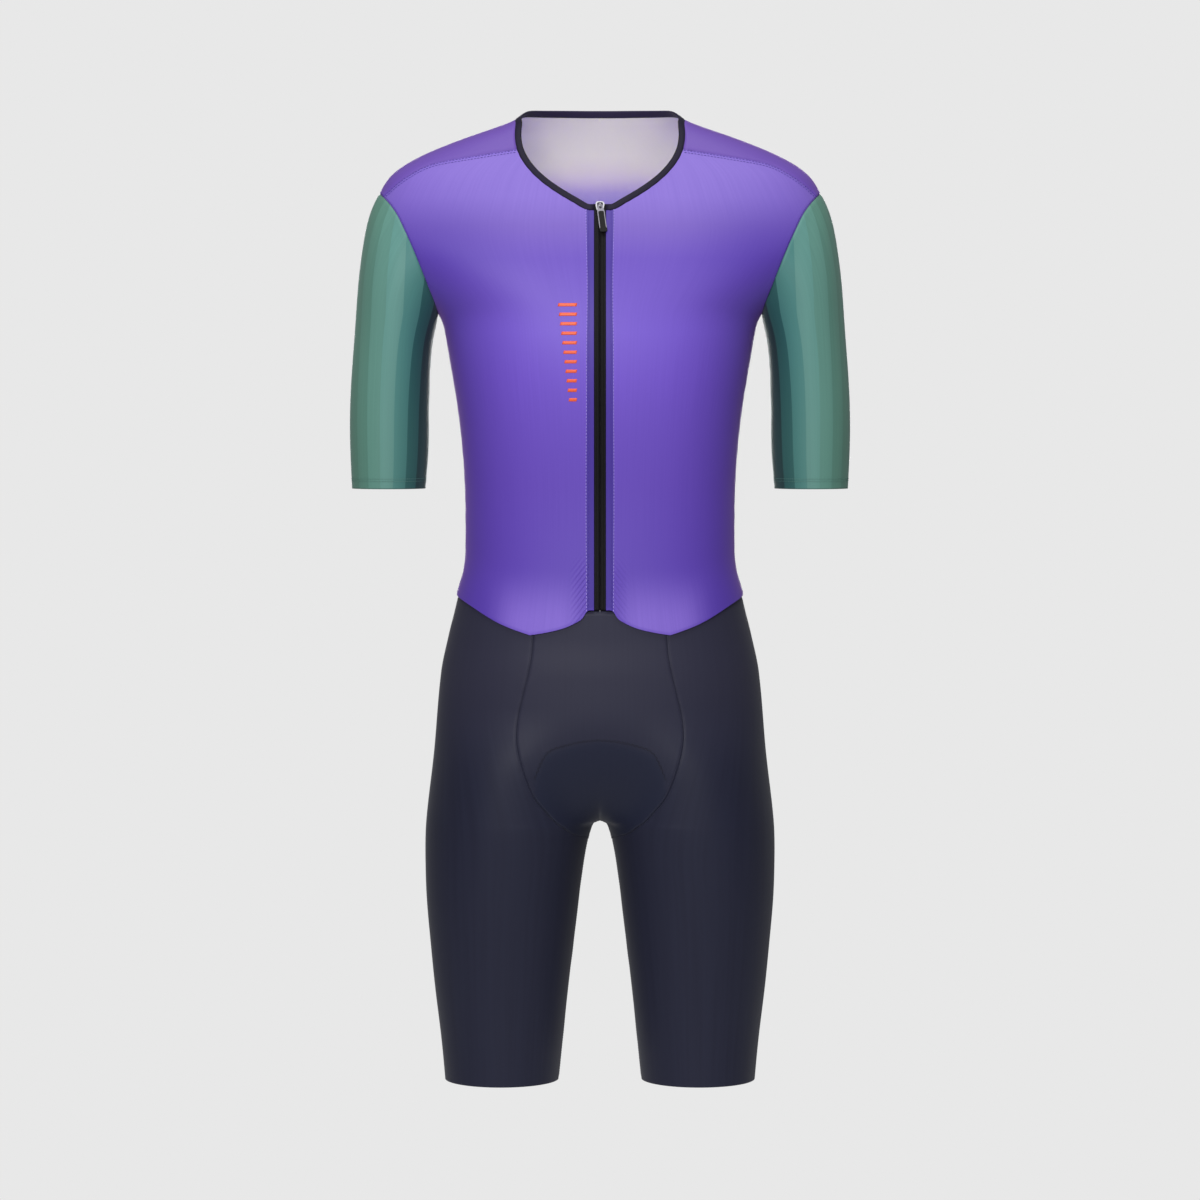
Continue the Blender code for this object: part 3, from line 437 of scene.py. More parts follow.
def plain_ring(angle, ring):
    """Points of the sleeve as plain ovals, before it takes on the armhole's shape."""
    outer_x, outer_z = sleeve_ring["outer_x"](ring), sleeve_ring["outer_z"](ring)
    inner_x, inner_z = sleeve_ring["inner_x"](ring), sleeve_ring["inner_z"](ring)
    x = (outer_x + inner_x) / 2 + (outer_x - inner_x) / 2 * np.cos(angle)
    z = (outer_z + inner_z) / 2 + (outer_z - inner_z) / 2 * np.cos(angle)
    return np.stack((x, sleeve_ring["deep"](ring) * np.sin(angle), z), axis=-1)


def sleeve_form(angle, ring):
    """Points of the sleeve: the angle as on the armhole, the ring from 0 there to the cuff."""
    angle, ring = np.broadcast_arrays(np.asarray(angle, float), np.asarray(ring, float))
    line = armhole(angle)
    own_shape = form(line[..., 0], line[..., 1]) - plain_ring(angle, np.zeros(ring.shape))
    fade = ease(1 - ring / ARMHOLE_REACH)[..., None]
    return plain_ring(angle, ring) + own_shape * fade


def sleeve_normal(angle, ring):
    """Outward directions of the sleeve."""
    angle, ring = np.broadcast_arrays(np.asarray(angle, float), np.asarray(ring, float))
    round_it = sleeve_form(angle + STEP_TURN, ring) - sleeve_form(angle - STEP_TURN, ring)
    down_it = sleeve_form(angle, ring + STEP_TURN) - sleeve_form(angle, ring)
    return unit(np.cross(down_it, round_it))


def armhole_mitre(angle):
    """The direction, midway between the two cloths', in which both end at the armhole seam."""
    line = armhole(angle)
    body = form_normal(line[..., 0], line[..., 1])
    return unit(body + sleeve_normal(angle, np.zeros(np.shape(angle))))


# ---------------------------------------------------------------- cloths
NEAR_EDGE = (0.12, 0.28, 0.5, 0.75)     # extra rows in the first field beside an edge
ROLL = 0.7 * MM                 # how far a sewn edge turns in
ROLL_WIDTH = 1.5 * MM
PUCKER = 0.2 * MM               # the cloth's small waves along a seam
PUCKER_LENGTH = 7.5 * MM
PUCKER_DRIFT = 11 * MM          # and how slowly their length changes
PUCKER_WIDTH = 6 * MM


def from_edge(values, edge):
    """A grid's values as rows that run along one edge, beginning at that edge."""
    if edge in ("left", "right"):
        values = values.swapaxes(0, 1)
    return values[::-1] if edge in ("bottom", "right") else values


def to_grid(rows, edge):
    """The reverse of from_edge."""
    if edge in ("bottom", "right"):
        rows = rows[::-1]
    return rows.swapaxes(0, 1) if edge in ("left", "right") else rows


def dense(grid, *edges):
    """The grid with extra rows beside the named edges."""
    for edge in edges:
        rows = from_edge(grid, edge)
        extra = [rows[0] * (1 - share) + rows[1] * share for share in NEAR_EDGE]
        grid = to_grid(np.concatenate((rows[:1], np.stack(extra), rows[1:])), edge)
    return grid


def run_length(points):
    """Length along a line of points, from its first point."""
    steps = np.linalg.norm(np.diff(points, axis=0), axis=-1)
    return np.concatenate((np.zeros((1,) + steps.shape[1:]), np.cumsum(steps, axis=0)))


class Cloth:
    """The outer face of one cloth: points, outward directions and places on the knit."""

    def __init__(self, points, normals, knit):
        self.points, self.normals, self.knit = points, normals, knit
        self.marks = {}
        self.thickness = CLOTH

    def away(self, edge):
        """Distance of each point from an edge, along the cloth."""
        return to_grid(run_length(from_edge(self.points, edge)), edge)

    def move(self, distance):
        self.points = self.points + self.normals * distance[..., None]

    def sew(self, *edges):
        """Turns sewn edges in, and lets the cloth beside them pucker a little."""
        sink = np.zeros(self.points.shape[:2])
        for edge in edges:
            away = self.away(edge)
            along = to_grid(run_length(from_edge(self.points, edge).swapaxes(0, 1))
                            .swapaxes(0, 1), edge)
            wave = np.sin(along * 2 * math.pi / PUCKER_LENGTH + np.sin(along / PUCKER_DRIFT))
            sink -= ROLL * np.exp(-(away / ROLL_WIDTH) ** 2)
            sink += PUCKER * wave * np.exp(-(away / PUCKER_WIDTH) ** 2)
        self.inset(*edges)
        self.move(sink)

    def inset(self, *edges):
        """Draws edges in along the cloth, by half the gap at a seam."""
        moved = self.points.copy()
        for edge in edges:
            here, within, normals = (from_edge(grid, edge) for grid in
                                     (moved, self.points, self.normals))
            inward = unit(np.cross(normals[0], np.gradient(within[0], axis=0)))
            sign = np.sign(np.sum(inward * (within[1] - within[0])))
            here[0] += inward * sign * SEAM / 2
        self.points = moved

    def line(self, edge, distance):
        """Points and outward directions so far from an edge, along the cloth."""
        away, points, normals = (from_edge(grid, edge) for grid in
                                 (self.away(edge), self.points, self.normals))
        distance = np.broadcast_to(distance, away.shape[1:])
        found = [[[np.interp(distance[i], away[:, i], values[:, i, k]) for k in range(3)]
                  for i in range(away.shape[1])] for values in (points, normals)]
        return np.array(found[0]), unit(np.array(found[1]))

    def reversed_columns(self, flip=(1, 1, 1)):
        """The same cloth with its columns in the other order, and its axes times flip."""
        other = Cloth(self.points[:, ::-1] * flip, self.normals[:, ::-1] * flip,
                      self.knit[:, ::-1] * (flip[0], 1))
        other.marks = {name: grid[:, ::-1] for name, grid in self.marks.items()}
        other.thickness = np.broadcast_to(self.thickness, self.points.shape[:2])[:, ::-1]
        return other

    def mirror(self):
        """The same cloth on the wearer's right."""
        return self.reversed_columns(flip=(-1, 1, 1))


def new_object(name, points, faces, materials, slots=None, uvs=None):
    """A smooth mesh object, with the material and the place on the knit of each face."""
    mesh = bpy.data.meshes.new(name)
    mesh.from_pydata(points.tolist(), [], faces)
    for material in materials:
        mesh.materials.append(material)
    if slots is not None:
        mesh.polygons.foreach_set("material_index", slots)
    if uvs is not None:
        mesh.uv_layers.new(name="knit").data.foreach_set("uv", uvs.ravel())
    mesh.update()
    mesh.shade_smooth()
    piece = bpy.data.objects.new(name, mesh)
    bpy.context.scene.collection.objects.link(piece)
    return piece


def shell(name, cloths, materials):
    """A closed thin shell with the outer face, and at its thickness the inner face, of cloths
    that share points where they meet. Its materials are those of its outer and inner face."""
    known, outside, inside, marks = {}, [], [], []
    faces, knit = [], []
    for cloth in cloths:
        inner = cloth.points - cloth.normals * np.broadcast_to(
            cloth.thickness, cloth.points.shape[:2])[..., None]
        numbers = np.zeros(cloth.points.shape[:2], int)
        keys = np.round(cloth.points / MERGE).astype(int)
        for place in np.ndindex(*numbers.shape):
            key = tuple(keys[place])
            if key not in known:
                known[key] = len(outside)
                outside.append(cloth.points[place])
                inside.append(inner[place])
                marks.append([grid[place] for grid in cloth.marks.values()])
            numbers[place] = known[key]
        corners = [(np.s_[:-1], np.s_[:-1]), (np.s_[1:], np.s_[:-1]),
                   (np.s_[1:], np.s_[1:]), (np.s_[:-1], np.s_[1:])]
        faces.append(np.stack([numbers[corner] for corner in corners], axis=-1).reshape(-1, 4))
        knit.append(np.stack([cloth.knit[corner] for corner in corners], axis=2)
                    .reshape(-1, 4, 2))
    faces, knit, count = np.concatenate(faces), np.concatenate(knit), len(outside)
    place_of = {}
    for face, places in zip(faces.tolist(), knit.tolist()):
        place_of.update(zip(face, places))
    edges = {(face[k], face[(k + 1) % 4]) for face in faces.tolist() for k in range(4)}
    rims = [(b, a, a + count, b + count) for a, b in sorted(edges) if (b, a) not in edges]
    rim_knit = [[place_of[b], place_of[a], place_of[a], place_of[b]]
                for b, a, _, _ in rims]
    uvs = np.concatenate((knit, knit[:, ::-1], np.array(rim_knit)))
    every = np.concatenate((faces, faces[:, ::-1] + count, np.array(rims)))
    slots = np.zeros(len(every), int)
    slots[len(faces):2 * len(faces)] = len(materials) - 1
    piece = new_object(name, np.array(outside + inside), every.tolist(), materials, slots, uvs)
    for k, mark in enumerate(cloths[0].marks):
        values = np.array([row[k] for row in marks] * 2)
        piece.data.attributes.new(mark, "FLOAT", "POINT").data.foreach_set("value", values)
    return piece


def tubes(name, paths, ups, radii, material, sides=6, flat=1.0):
    """Closed tubes as one mesh: paths and the directions to their upper sides, as many tubes x
    rings x 3, a radius for each ring, and height as a share of width."""
    along = unit(np.gradient(paths, axis=1))
    across = unit(np.cross(along, ups))
    over = np.cross(across, along)
    angle = np.arange(sides) * 2 * math.pi / sides
    radii = np.broadcast_to(radii, paths.shape[:2])[..., None, None]
    ring = (across[:, :, None] * np.cos(angle)[:, None]
            + over[:, :, None] * np.sin(angle)[:, None] * flat)
    points = (paths[:, :, None] + ring * radii).reshape(-1, 3)
    count, rings = paths.shape[:2]
    numbers = np.arange(count * rings * sides).reshape(count, rings, sides)
    after = np.roll(numbers, -1, axis=2)
    quads = np.stack((numbers[:, :-1], numbers[:, 1:], after[:, 1:], after[:, :-1]), axis=-1)
    faces = quads.reshape(-1, 4).tolist() + numbers[:, 0].tolist()
    faces += numbers[:, -1, ::-1].tolist()
    return new_object(name, points, faces, [material])


def chart_cloth(chart, sink=0.0):
    """The cloth on a patch of the chart, sunk under the form's surface."""
    turn, z = chart[..., 0], chart[..., 1]
    normals = form_normal(turn, z)
    depth = np.broadcast_to(sink, z.shape)[..., None]
    knit = np.stack((turn * np.where(z < CROTCH, LEG_TURN_LENGTH, TURN_LENGTH), z), axis=-1)
    return Cloth(form(turn, z) - normals * depth, normals, knit)


# ---------------------------------------------------------------- materials
def linear(red, green, blue):
    """A colour given as it looks on a screen, 0 to 255, in linear light."""
    share = np.array((red, green, blue)) / 255
    low = share <= 0.04045
    values = np.where(low, share / 12.92, ((share + 0.055) / 1.055) ** 2.4)
    return tuple(float(value) for value in values) + (1.0,)


class Finish:
    """A material and the making of its nodes."""

    def __init__(self, name, roughness, specular=0.5, sheen=0.0, metallic=0.0,
                 tint=(255, 255, 255)):
        self.material = bpy.data.materials.new(name)
        self.material.use_nodes = True
        self.tree = self.material.node_tree
        self.shader = self.tree.nodes["Principled BSDF"]
        self.shader.inputs["Roughness"].default_value = roughness
        self.shader.inputs["Specular IOR Level"].default_value = specular
        self.shader.inputs["Sheen Weight"].default_value = sheen
        self.shader.inputs["Sheen Roughness"].default_value = 0.4
        self.shader.inputs["Sheen Tint"].default_value = linear(*tint)
        self.shader.inputs["Metallic"].default_value = metallic

    def node(self, kind, inputs=(), **settings):
        node = self.tree.nodes.new("ShaderNode" + kind)
        for name, value in settings.items():
            setattr(node, name, value)
        for k, value in dict(enumerate(inputs) if not isinstance(inputs, dict)
                             else inputs).items():
            if isinstance(value, bpy.types.NodeSocket):
                self.tree.links.new(value, node.inputs[k])
            elif value is not None:
                node.inputs[k].default_value = value
        return node

    def math(self, operation, *values):
        return self.node("Math", values, operation=operation).outputs[0]

    def mark(self, name):
        return self.node("Attribute", attribute_name=name).outputs["Fac"]

    def place(self):
        """Object coordinates, as x, y and z."""
        return self.node("SeparateXYZ", (self.node("TexCoord").outputs["Object"],)).outputs

    def knit(self):
        """Places on the knit in metres, across and along it."""
        return self.node("SeparateXYZ", (self.node("UVMap", uv_map="knit").outputs[0],)).outputs

    def stretched_noise(self, across, along, detail=2.0):
        """Noise in streaks: waves to a metre across the knit and along it."""
        u, v = self.knit()[0:2]
        spot = self.node("CombineXYZ", (self.math("MULTIPLY", u, across),
                                        self.math("MULTIPLY", v, along), 0.0)).outputs[0]
        return self.node("TexNoise", {"Vector": spot, "Scale": 1.0, "Detail": detail}).outputs[0]

    def ramp(self, value, stops):
        """Colours, as they look on a screen, at positions from 0 to 1."""
        node = self.node("ValToRGB", (value,))
        elements = node.color_ramp.elements
        while len(elements) < len(stops):
            elements.new(0.5)
        for element, (position, _) in zip(elements, stops):
            element.position = position
        for element, (_, colour) in zip(elements, stops):
            element.color = linear(*colour)
        return node.outputs[0]

    def mix(self, share, first, second):
        node = self.node("Mix", data_type="RGBA")
        for k, value in ((0, share), (6, first), (7, second)):
            if isinstance(value, bpy.types.NodeSocket):
                self.tree.links.new(value, node.inputs[k])
            else:
                node.inputs[k].default_value = value
        return node.outputs[2]

    def wash(self, body, share, strength, colour):
        """A colour laid over the body, by a share of its strength."""
        return self.mix(self.math("MULTIPLY", share, strength), body, linear(*colour))

    def step(self, value, low, high):
        """0 at low and 1 at high, either of which may be the greater, with a smooth rise."""
        node = self.node("MapRange", (value, low, high, 0.0, 1.0),
                         interpolation_type="SMOOTHSTEP")
        return node.outputs[0]

    def colour(self, value):
        self.tree.links.new(value, self.shader.inputs["Base Color"])

    def bump(self, height, strength, distance, over=None):
        node = self.node("Bump", {"Strength": strength, "Distance": distance,
                                  "Height": height, "Normal": over})
        self.tree.links.new(node.outputs[0], self.shader.inputs["Normal"])
        return node.outputs[0]

    def puckers(self, x, z):
        """Small folds that run down and out from the zip's lower end."""
        away = self.math("ABSOLUTE", x)
        run = self.math("MULTIPLY_ADD", away, PUCKER_LEAN, z)
        wave = self.math("SINE", self.math("MULTIPLY", run, 2 * math.pi / PUCKER_PITCH))
        near = self.math("MULTIPLY", self.step(away, *PUCKER_INNER),
                         self.step(away, *PUCKER_OUTER))
        low = self.math("MULTIPLY", self.step(z, *PUCKER_HEIGHTS), near)
        return self.math("MULTIPLY", wave, low)

    def knit_height(self, wale, course):
        """Height of fine knit: rows of loops, each a rounded rib across and a wave along."""
        u, v = self.knit()[0:2]
        rib = self.math("ABSOLUTE", self.math("SINE", self.math("MULTIPLY", u, math.pi / wale)))
        loop = self.math("SINE", self.math("MULTIPLY", v, 2 * math.pi / course))
        return self.math("ADD", rib, self.math("MULTIPLY", loop, 0.35))


WALE, COURSE = 0.9 * MM, 0.7 * MM           # pitch of the knit across and along
KNIT_DEEP = 0.1 * MM            # depth of the knit and of other fine grain
PUCKER_PITCH, PUCKER_LEAN, PUCKER_DEEP = 6.5 * MM, 1.3, 0.7 * MM
PUCKER_INNER, PUCKER_OUTER = (11 * MM, 14.5 * MM), (34 * MM, 17 * MM)   # from the zip
PUCKER_HEIGHTS = (-440 * MM, -475 * MM)

# where the jersey's colours change: in height, for its own colour with painted light and shade, from
# the middle, for the painted shade at its sides, and round the hem's points, for their painted
# highlight
JERSEY_RISE, JERSEY_SIDE_SHADE = (-530 * MM, 0.0), (60 * MM, 170 * MM)
SIDE_SHADE_BELOW_SHOULDER = (-40 * MM, -140 * MM)
POINT_AT, HIGHLIGHT_REACH, HIGHLIGHT_RISE = 62 * MM, (60 * MM, 20 * MM), (-455 * MM, -515 * MM)
BAND_EDGE = (8.4 * MM, 7.6 * MM)            # of the darker stitched band beside the zip
HEM_EDGE = (4.2 * MM, 1.2 * MM)


def jersey_finish(name, heights, points=True):
    """Satin purple knit: painted light and shade by height, painted shade deepening the sides, a
    painted highlight lightening the hem's points, and darker at the zip.
    """
    finish = Finish(name, 0.48, specular=0.25, sheen=0.22, tint=(232, 178, 255))
    x, _, z = finish.place()
    away = finish.math("ABSOLUTE", x)
    # own purple with painted light and shade, by height
    body = finish.ramp(finish.step(z, *JERSEY_RISE), heights)
    # painted shade: the sides, below the shoulders, are washed towards a deep purple
    shade = finish.math("MULTIPLY", finish.step(away, *JERSEY_SIDE_SHADE),
                        finish.step(z, *SIDE_SHADE_BELOW_SHOULDER))
    body = finish.wash(body, shade, 0.5, (66, 40, 152))
    if points:
        # painted highlight: a lighter purple round the hem's points, rising towards their lower edge
        off_point = finish.math("ABSOLUTE", finish.math("SUBTRACT", away, POINT_AT))
        painted_highlight = finish.math("MULTIPLY", finish.step(off_point, *HIGHLIGHT_REACH),
                           finish.step(z, *HIGHLIGHT_RISE))
        body = finish.wash(body, painted_highlight, 0.6, (150, 122, 222))
        body = finish.wash(body, finish.step(finish.mark("band"), *BAND_EDGE), 0.75,
                           (50, 34, 130))
    body = finish.wash(body, finish.stretched_noise(650, 9), 0.25, (76, 50, 158))
    body = finish.wash(body, finish.step(finish.mark("hem"), *HEM_EDGE), 0.35, (84, 60, 170))
    finish.colour(body)
    knit = finish.bump(finish.knit_height(WALE, COURSE), 0.12, KNIT_DEEP)
    if points:
        finish.bump(finish.puckers(x, z), 0.42, PUCKER_DEEP, over=knit)
    return finish.material


# the knit's own purple by height, from the foot of JERSEY_RISE to its top, with painted light and
# shade in it: on the front darker towards the belly and lighter on the chest and beside the neck,
# behind darker on the shoulders that face up
FRONT_COLOUR_AND_LIGHT_BY_HEIGHT = ((0.0, (95, 70, 174)), (0.2, (102, 74, 181)), (0.5, (115, 85, 199)),
                 (0.63, (119, 91, 202)), (0.73, (113, 86, 192)), (0.82, (108, 82, 184)),
                 (0.89, (119, 95, 184)), (0.94, (132, 108, 198)))
BACK_COLOUR_AND_SHADE_BY_HEIGHT = ((0.0, (112, 82, 196)), (0.5, (112, 82, 200)), (0.85, (112, 82, 186)),
                (1.0, (110, 82, 166)))

# the reverse's own pale lilac by height, from the foot of REVERSE_RISE to its top, darkened lower
# down by painted shade
REVERSE_RISE = (-200 * MM, 0.0)
REVERSE_COLOUR_AND_SHADE_BY_HEIGHT = ((0.0, (110, 98, 172)), (0.63, (104, 90, 178)), (0.73, (140, 124, 214)),
                   (0.83, (198, 180, 255)), (0.94, (228, 210, 255)))
# from the middle and in height: where painted light brightens the reverse's upper sides
REVERSE_LIT_SIDE, REVERSE_LIT_HIGH = (15 * MM, 60 * MM), (-60 * MM, -30 * MM)


def inside_finish():
    """The reverse of the dyed knit, which lets light through: pale lilac, deeper below by painted
    shade, and paler at its upper sides by painted light.
    """
    finish = Finish("knit_reverse", 0.75, specular=0.2, sheen=0.25, tint=(222, 210, 255))
    finish.shader.inputs["Subsurface Weight"].default_value = 1.0
    finish.shader.inputs["Subsurface Radius"].default_value = (1.0, 0.9, 1.8)
    finish.shader.inputs["Subsurface Scale"].default_value = 6 * MM
    x, _, z = finish.place()
    # own lilac with painted shade lower down, by height
    body = finish.ramp(finish.step(z, *REVERSE_RISE), REVERSE_COLOUR_AND_SHADE_BY_HEIGHT)
    # painted light: the upper sides of the reverse, away from the middle, are washed towards a paler
    # lilac
    side = finish.step(finish.math("ABSOLUTE", x), *REVERSE_LIT_SIDE)
    body = finish.wash(body, side, finish.step(z, *REVERSE_LIT_HIGH), (236, 214, 255))
    finish.colour(finish.wash(body, finish.stretched_noise(500, 40), 0.12, (200, 188, 236)))
    finish.bump(finish.knit_height(WALE, COURSE), 0.1, KNIT_DEEP)
    return finish.material


BAND_RIB = 0.9 * MM             # pitch of the ribs across the neck's elastic
BAND_BEHIND = (-20 * MM, 30 * MM)           # front to back: it is lighter behind the neck


def band_finish():
    """Folded elastic, near black, with fine ribs across it."""
    finish = Finish("neck_band_elastic", 0.65, specular=0.25, sheen=0.08)
    u = finish.knit()[0]
    ribs = finish.math("SINE", finish.math("MULTIPLY", u, 2 * math.pi / BAND_RIB))
    tone = finish.math("MULTIPLY_ADD", ribs, 0.5, 0.5)
    streak = finish.stretched_noise(900, 60)
    body = finish.wash(linear(20, 14, 36), tone, 0.5, (27, 20, 46))
    body = finish.mix(finish.step(finish.place()[1], *BAND_BEHIND), body, linear(56, 48, 78))
    finish.colour(finish.wash(body, streak, 0.3, (24, 19, 38)))
    finish.bump(tone, 0.2, 0.15 * MM)
    return finish.material


SLEEVE_STRIPES = 9              # from the outer line to the inner seam, half round the sleeve
SLEEVE_DYE = ((0.0, (106, 150, 132)), (0.17, (98, 142, 125)), (0.28, (100, 146, 131)),
              (0.4, (103, 151, 139)), (0.5, (99, 149, 141)), (0.61, (72, 127, 123)),
              (0.72, (40, 87, 87)), (0.83, (18, 34, 45)), (1.0, (4, 10, 18)))
CUFF_RISE, CUFF_EDGE = (-200 * MM, -370 * MM), (1.6 * MM, 0.7 * MM)


def sleeve_finish():
    """Flat stripes of a dye that runs from grey green outside to near black inside."""
    finish = Finish("sleeve_dyed_knit", 0.5, specular=0.25, sheen=0.18, tint=(215, 240, 232))
    place = finish.math("MULTIPLY", finish.mark("turned"), float(SLEEVE_STRIPES))
    within = finish.math("FRACT", place)
    flat = finish.math("DIVIDE", finish.math("ADD", finish.math("FLOOR", place), 0.5),
                       float(SLEEVE_STRIPES))
    body = finish.ramp(flat, SLEEVE_DYE)
    body = finish.wash(body, finish.math("POWER", within, 2.0), 0.2, (52, 96, 92))
    body = finish.wash(body, finish.stretched_noise(420, 7), 0.3, (66, 104, 98))
    body = finish.wash(body, finish.step(finish.place()[2], *CUFF_RISE), 0.22, (66, 104, 88))
    body = finish.wash(body, finish.step(finish.mark("hem"), *CUFF_EDGE), 0.4, (40, 70, 66))
    finish.colour(body)
    finish.bump(finish.knit_height(WALE, COURSE), 0.12, KNIT_DEEP)
    return finish.material


SHORTS_RISE = (-690 * MM, -560 * MM)        # the knit is lighter above it


def shorts_finish():
    """Dense slate-blue knit, darker where the pad lies behind it."""
    finish = Finish("shorts_dense_knit", 0.52, specular=0.17, sheen=0.08)
    body = finish.mix(finish.stretched_noise(380, 5), linear(36, 38, 56), linear(30, 31, 48))
    body = finish.wash(body, finish.step(finish.place()[2], *SHORTS_RISE), 0.42, (58, 56, 73))
    finish.colour(finish.wash(body, finish.mark("padded"), 0.75, (28, 32, 51)))
    finish.bump(finish.knit_height(0.8 * MM, 0.6 * MM), 0.1, KNIT_DEEP)
    return finish.material


def plain_finish(name, first, second, roughness, specular=0.4, sheen=0.0, grain=900.0,
                 bump=0.1, metallic=0.0):
    """A finish with a fine uneven grain of two colours."""
    finish = Finish(name, roughness, specular, sheen, metallic)
    noise = finish.node("TexNoise", {"Vector": finish.node("TexCoord").outputs["Object"],
                                     "Scale": grain, "Detail": 3.0}).outputs[0]
    finish.colour(finish.mix(noise, linear(*first), linear(*second)))
    finish.bump(noise, bump, KNIT_DEEP)
    return finish.material


def thread_finish(name, first, second, roughness=0.6):
    """A finish for sewing thread."""
    return plain_finish("thread_" + name, first, second, roughness, grain=4000)


# ---------------------------------------------------------------- the cloths
MITRE_WIDTH = 5 * MM


def mitre(cloth, edge, angle, share):
    """Turns the outward directions beside the armhole to the line between its two cloths."""
    share = share * np.exp(-(cloth.away(edge) / MITRE_WIDTH) ** 2)
    cloth.normals = unit(cloth.normals * (1 - share[..., None])
                         + armhole_mitre(angle) * share[..., None])


def beside_armhole(chart, angles):
    """The chart with two more columns of values: the armhole's angle, and 1 along the armhole."""
    more = np.zeros(chart.shape[:2] + (2,))
    more[..., 0] = angles[-1]
    more[:len(angles), :, 0] = angles[:, None]
    more[:len(angles), :, 1] = 1
    return np.concatenate((chart, more), axis=-1)


def on_middle(cloth):
    """Puts the first column back on the plane between left and right, where it lies on it."""
    keep = np.abs(cloth.points[:, 0, 0]) < SEAM
    cloth.points[keep, 0, 0] = 0
    cloth.normals[keep, 0, 0] = 0


def front_cloth():
    chart = beside_armhole(chart_front(), ARMHOLE_ANGLES[:ARMHOLE_FRONT + 1][::-1])
    chart = dense(chart, "top", "right", "left", "bottom")
    cloth = chart_cloth(chart[..., :2])
    cloth.marks = {"band": cloth.away("left"), "hem": cloth.away("bottom")}
    mitre(cloth, "right", chart[..., 2], chart[..., 3])
    cloth.sew("top", "right")
    return cloth


def back_cloth():
    chart = beside_armhole(chart_back(), ARMHOLE_ANGLES[ARMHOLE_FRONT:])
    chart = dense(chart, "top", "right", "bottom")
    cloth = chart_cloth(chart[..., :2])
    cloth.marks = {"hem": cloth.away("bottom")}
    mitre(cloth, "right", chart[..., 2], chart[..., 3])
    cloth.sew("top", "right")
    on_middle(cloth)
    return cloth


STRIPE_DEPTH = 48 * MM          # half-depth of the sleeve, by which its stripes are spaced


def stripe_turn(points, angle):
    """How far a point lies from the sleeve's outermost line, 0 there and 1 at its inner line.
    It is told by the level section, so the stripes run straight up to the armhole."""
    x, y, z = np.moveaxis(points, -1, 0)
    outer, inner = [points[:, np.argmin(np.abs(angle[0] - turn))] for turn in (0, math.pi)]
    high, low = [np.interp(z, line[::-1, 2], line[::-1, 0]) for line in (outer, inner)]
    half = (high - low) / 2
    return np.arctan2(np.abs(y) / STRIPE_DEPTH, (x - high + half) / half) / math.pi


def sleeve_cloth():
    rings = np.linspace(0, len(SLEEVE["deep"]) - 1, SLEEVE_ROWS + 1)
    grid = np.stack(np.meshgrid(rings, ARMHOLE_ANGLES, indexing="ij")[::-1], axis=-1)
    grid = dense(grid, "top", "left", "right", "bottom")
    angle, ring = grid[..., 0], grid[..., 1]
    knit = np.stack((angle * SLEEVE_TURN_LENGTH, -ring * SLEEVE_RING_LENGTH), axis=-1)
    cloth = Cloth(sleeve_form(angle, ring), sleeve_normal(angle, ring), knit)
    cloth.marks = {"turned": stripe_turn(cloth.points, angle), "hem": cloth.away("bottom")}
    mitre(cloth, "top", angle, np.ones(angle.shape))
    cloth.sew("top", "left", "right")
    return cloth


def tucked(chart):
    """How far the shorts lie under the form where they run up under the jersey."""
    high, low = TUCK_FADE
    return TUCK_SINK * ease((chart[..., 1] - low) / (high - low))


pad_half = smooth([z * MM for x, z in PAD_EDGE], [x * MM for x, z in PAD_EDGE])
pad_upper = smooth([x * MM for x, z in PAD_ARC], [z * MM for x, z in PAD_ARC])


def over_pad(points):
    """1 where the pad lies behind the shorts' centre front and 0 where it doesn't."""
    x, z = np.abs(points[..., 0]), points[..., 2]
    below = pad_upper(np.minimum(x, PAD_ARC[-1][0] * MM)) - z
    within = pad_half(np.clip(z, PAD_EDGE[-1][1] * MM, PAD_EDGE[2][1] * MM)) - x
    return ease(below / PAD_RISE) * ease(within / PAD_RISE)


def gusset_cloth():
    chart = dense(chart_gusset(), "right", "bottom")
    cloth = chart_cloth(chart, tucked(chart))
    padded = over_pad(cloth.points)
    cloth.marks = {"padded": padded}
    cloth.sew("right", "bottom")
    cloth.move(padded * PAD_SHOWS)
    on_middle(cloth)
    return cloth


def leg_cloth():
    chart = dense(chart_leg(), "left", "right", "bottom")
    cloth = chart_cloth(chart, tucked(chart))
    cloth.knit[..., 0] = chart[..., 0] * LEG_TURN_LENGTH
    cloth.marks = {"padded": np.zeros(chart.shape[:2]), "hem": cloth.away("bottom")}
    cloth.sew("left", "right")
    return cloth


PAD_CHANNEL = (0.45, 0.06)      # the pad's groove: middle and width, as shares of half its width


def pad_cloths():
    """The pad's outer face in four quarters that share their edges, with their thickness."""
    front = chart_pad()
    back = np.stack((math.pi - front[..., 0] * PAD_WIDER, front[..., 1]), axis=-1)
    inward = np.linspace(1, 0, PAD_COLUMNS + 1)[None, :]
    down = np.linspace(0, 1, PAD_ROWS + 1)[:, None]
    full = np.sqrt(ease(inward * 2) * ease(down * 2))
    middle, width = PAD_CHANNEL
    channel = np.exp(-((inward - middle) / width) ** 2) * ease(down * 3)
    thin, thick = PAD_THICK
    thickness = thin + (thick - thin) * full * (1 - 0.5 * channel)
    before, behind = [chart_cloth(chart, PAD_SINK) for chart in (front, back)]
    for grid in ("points", "normals", "knit"):
        getattr(behind, grid)[-1] = getattr(before, grid)[-1]
    before.thickness = behind.thickness = thickness
    behind = behind.reversed_columns()
    return [before, before.mirror(), behind, behind.mirror()]


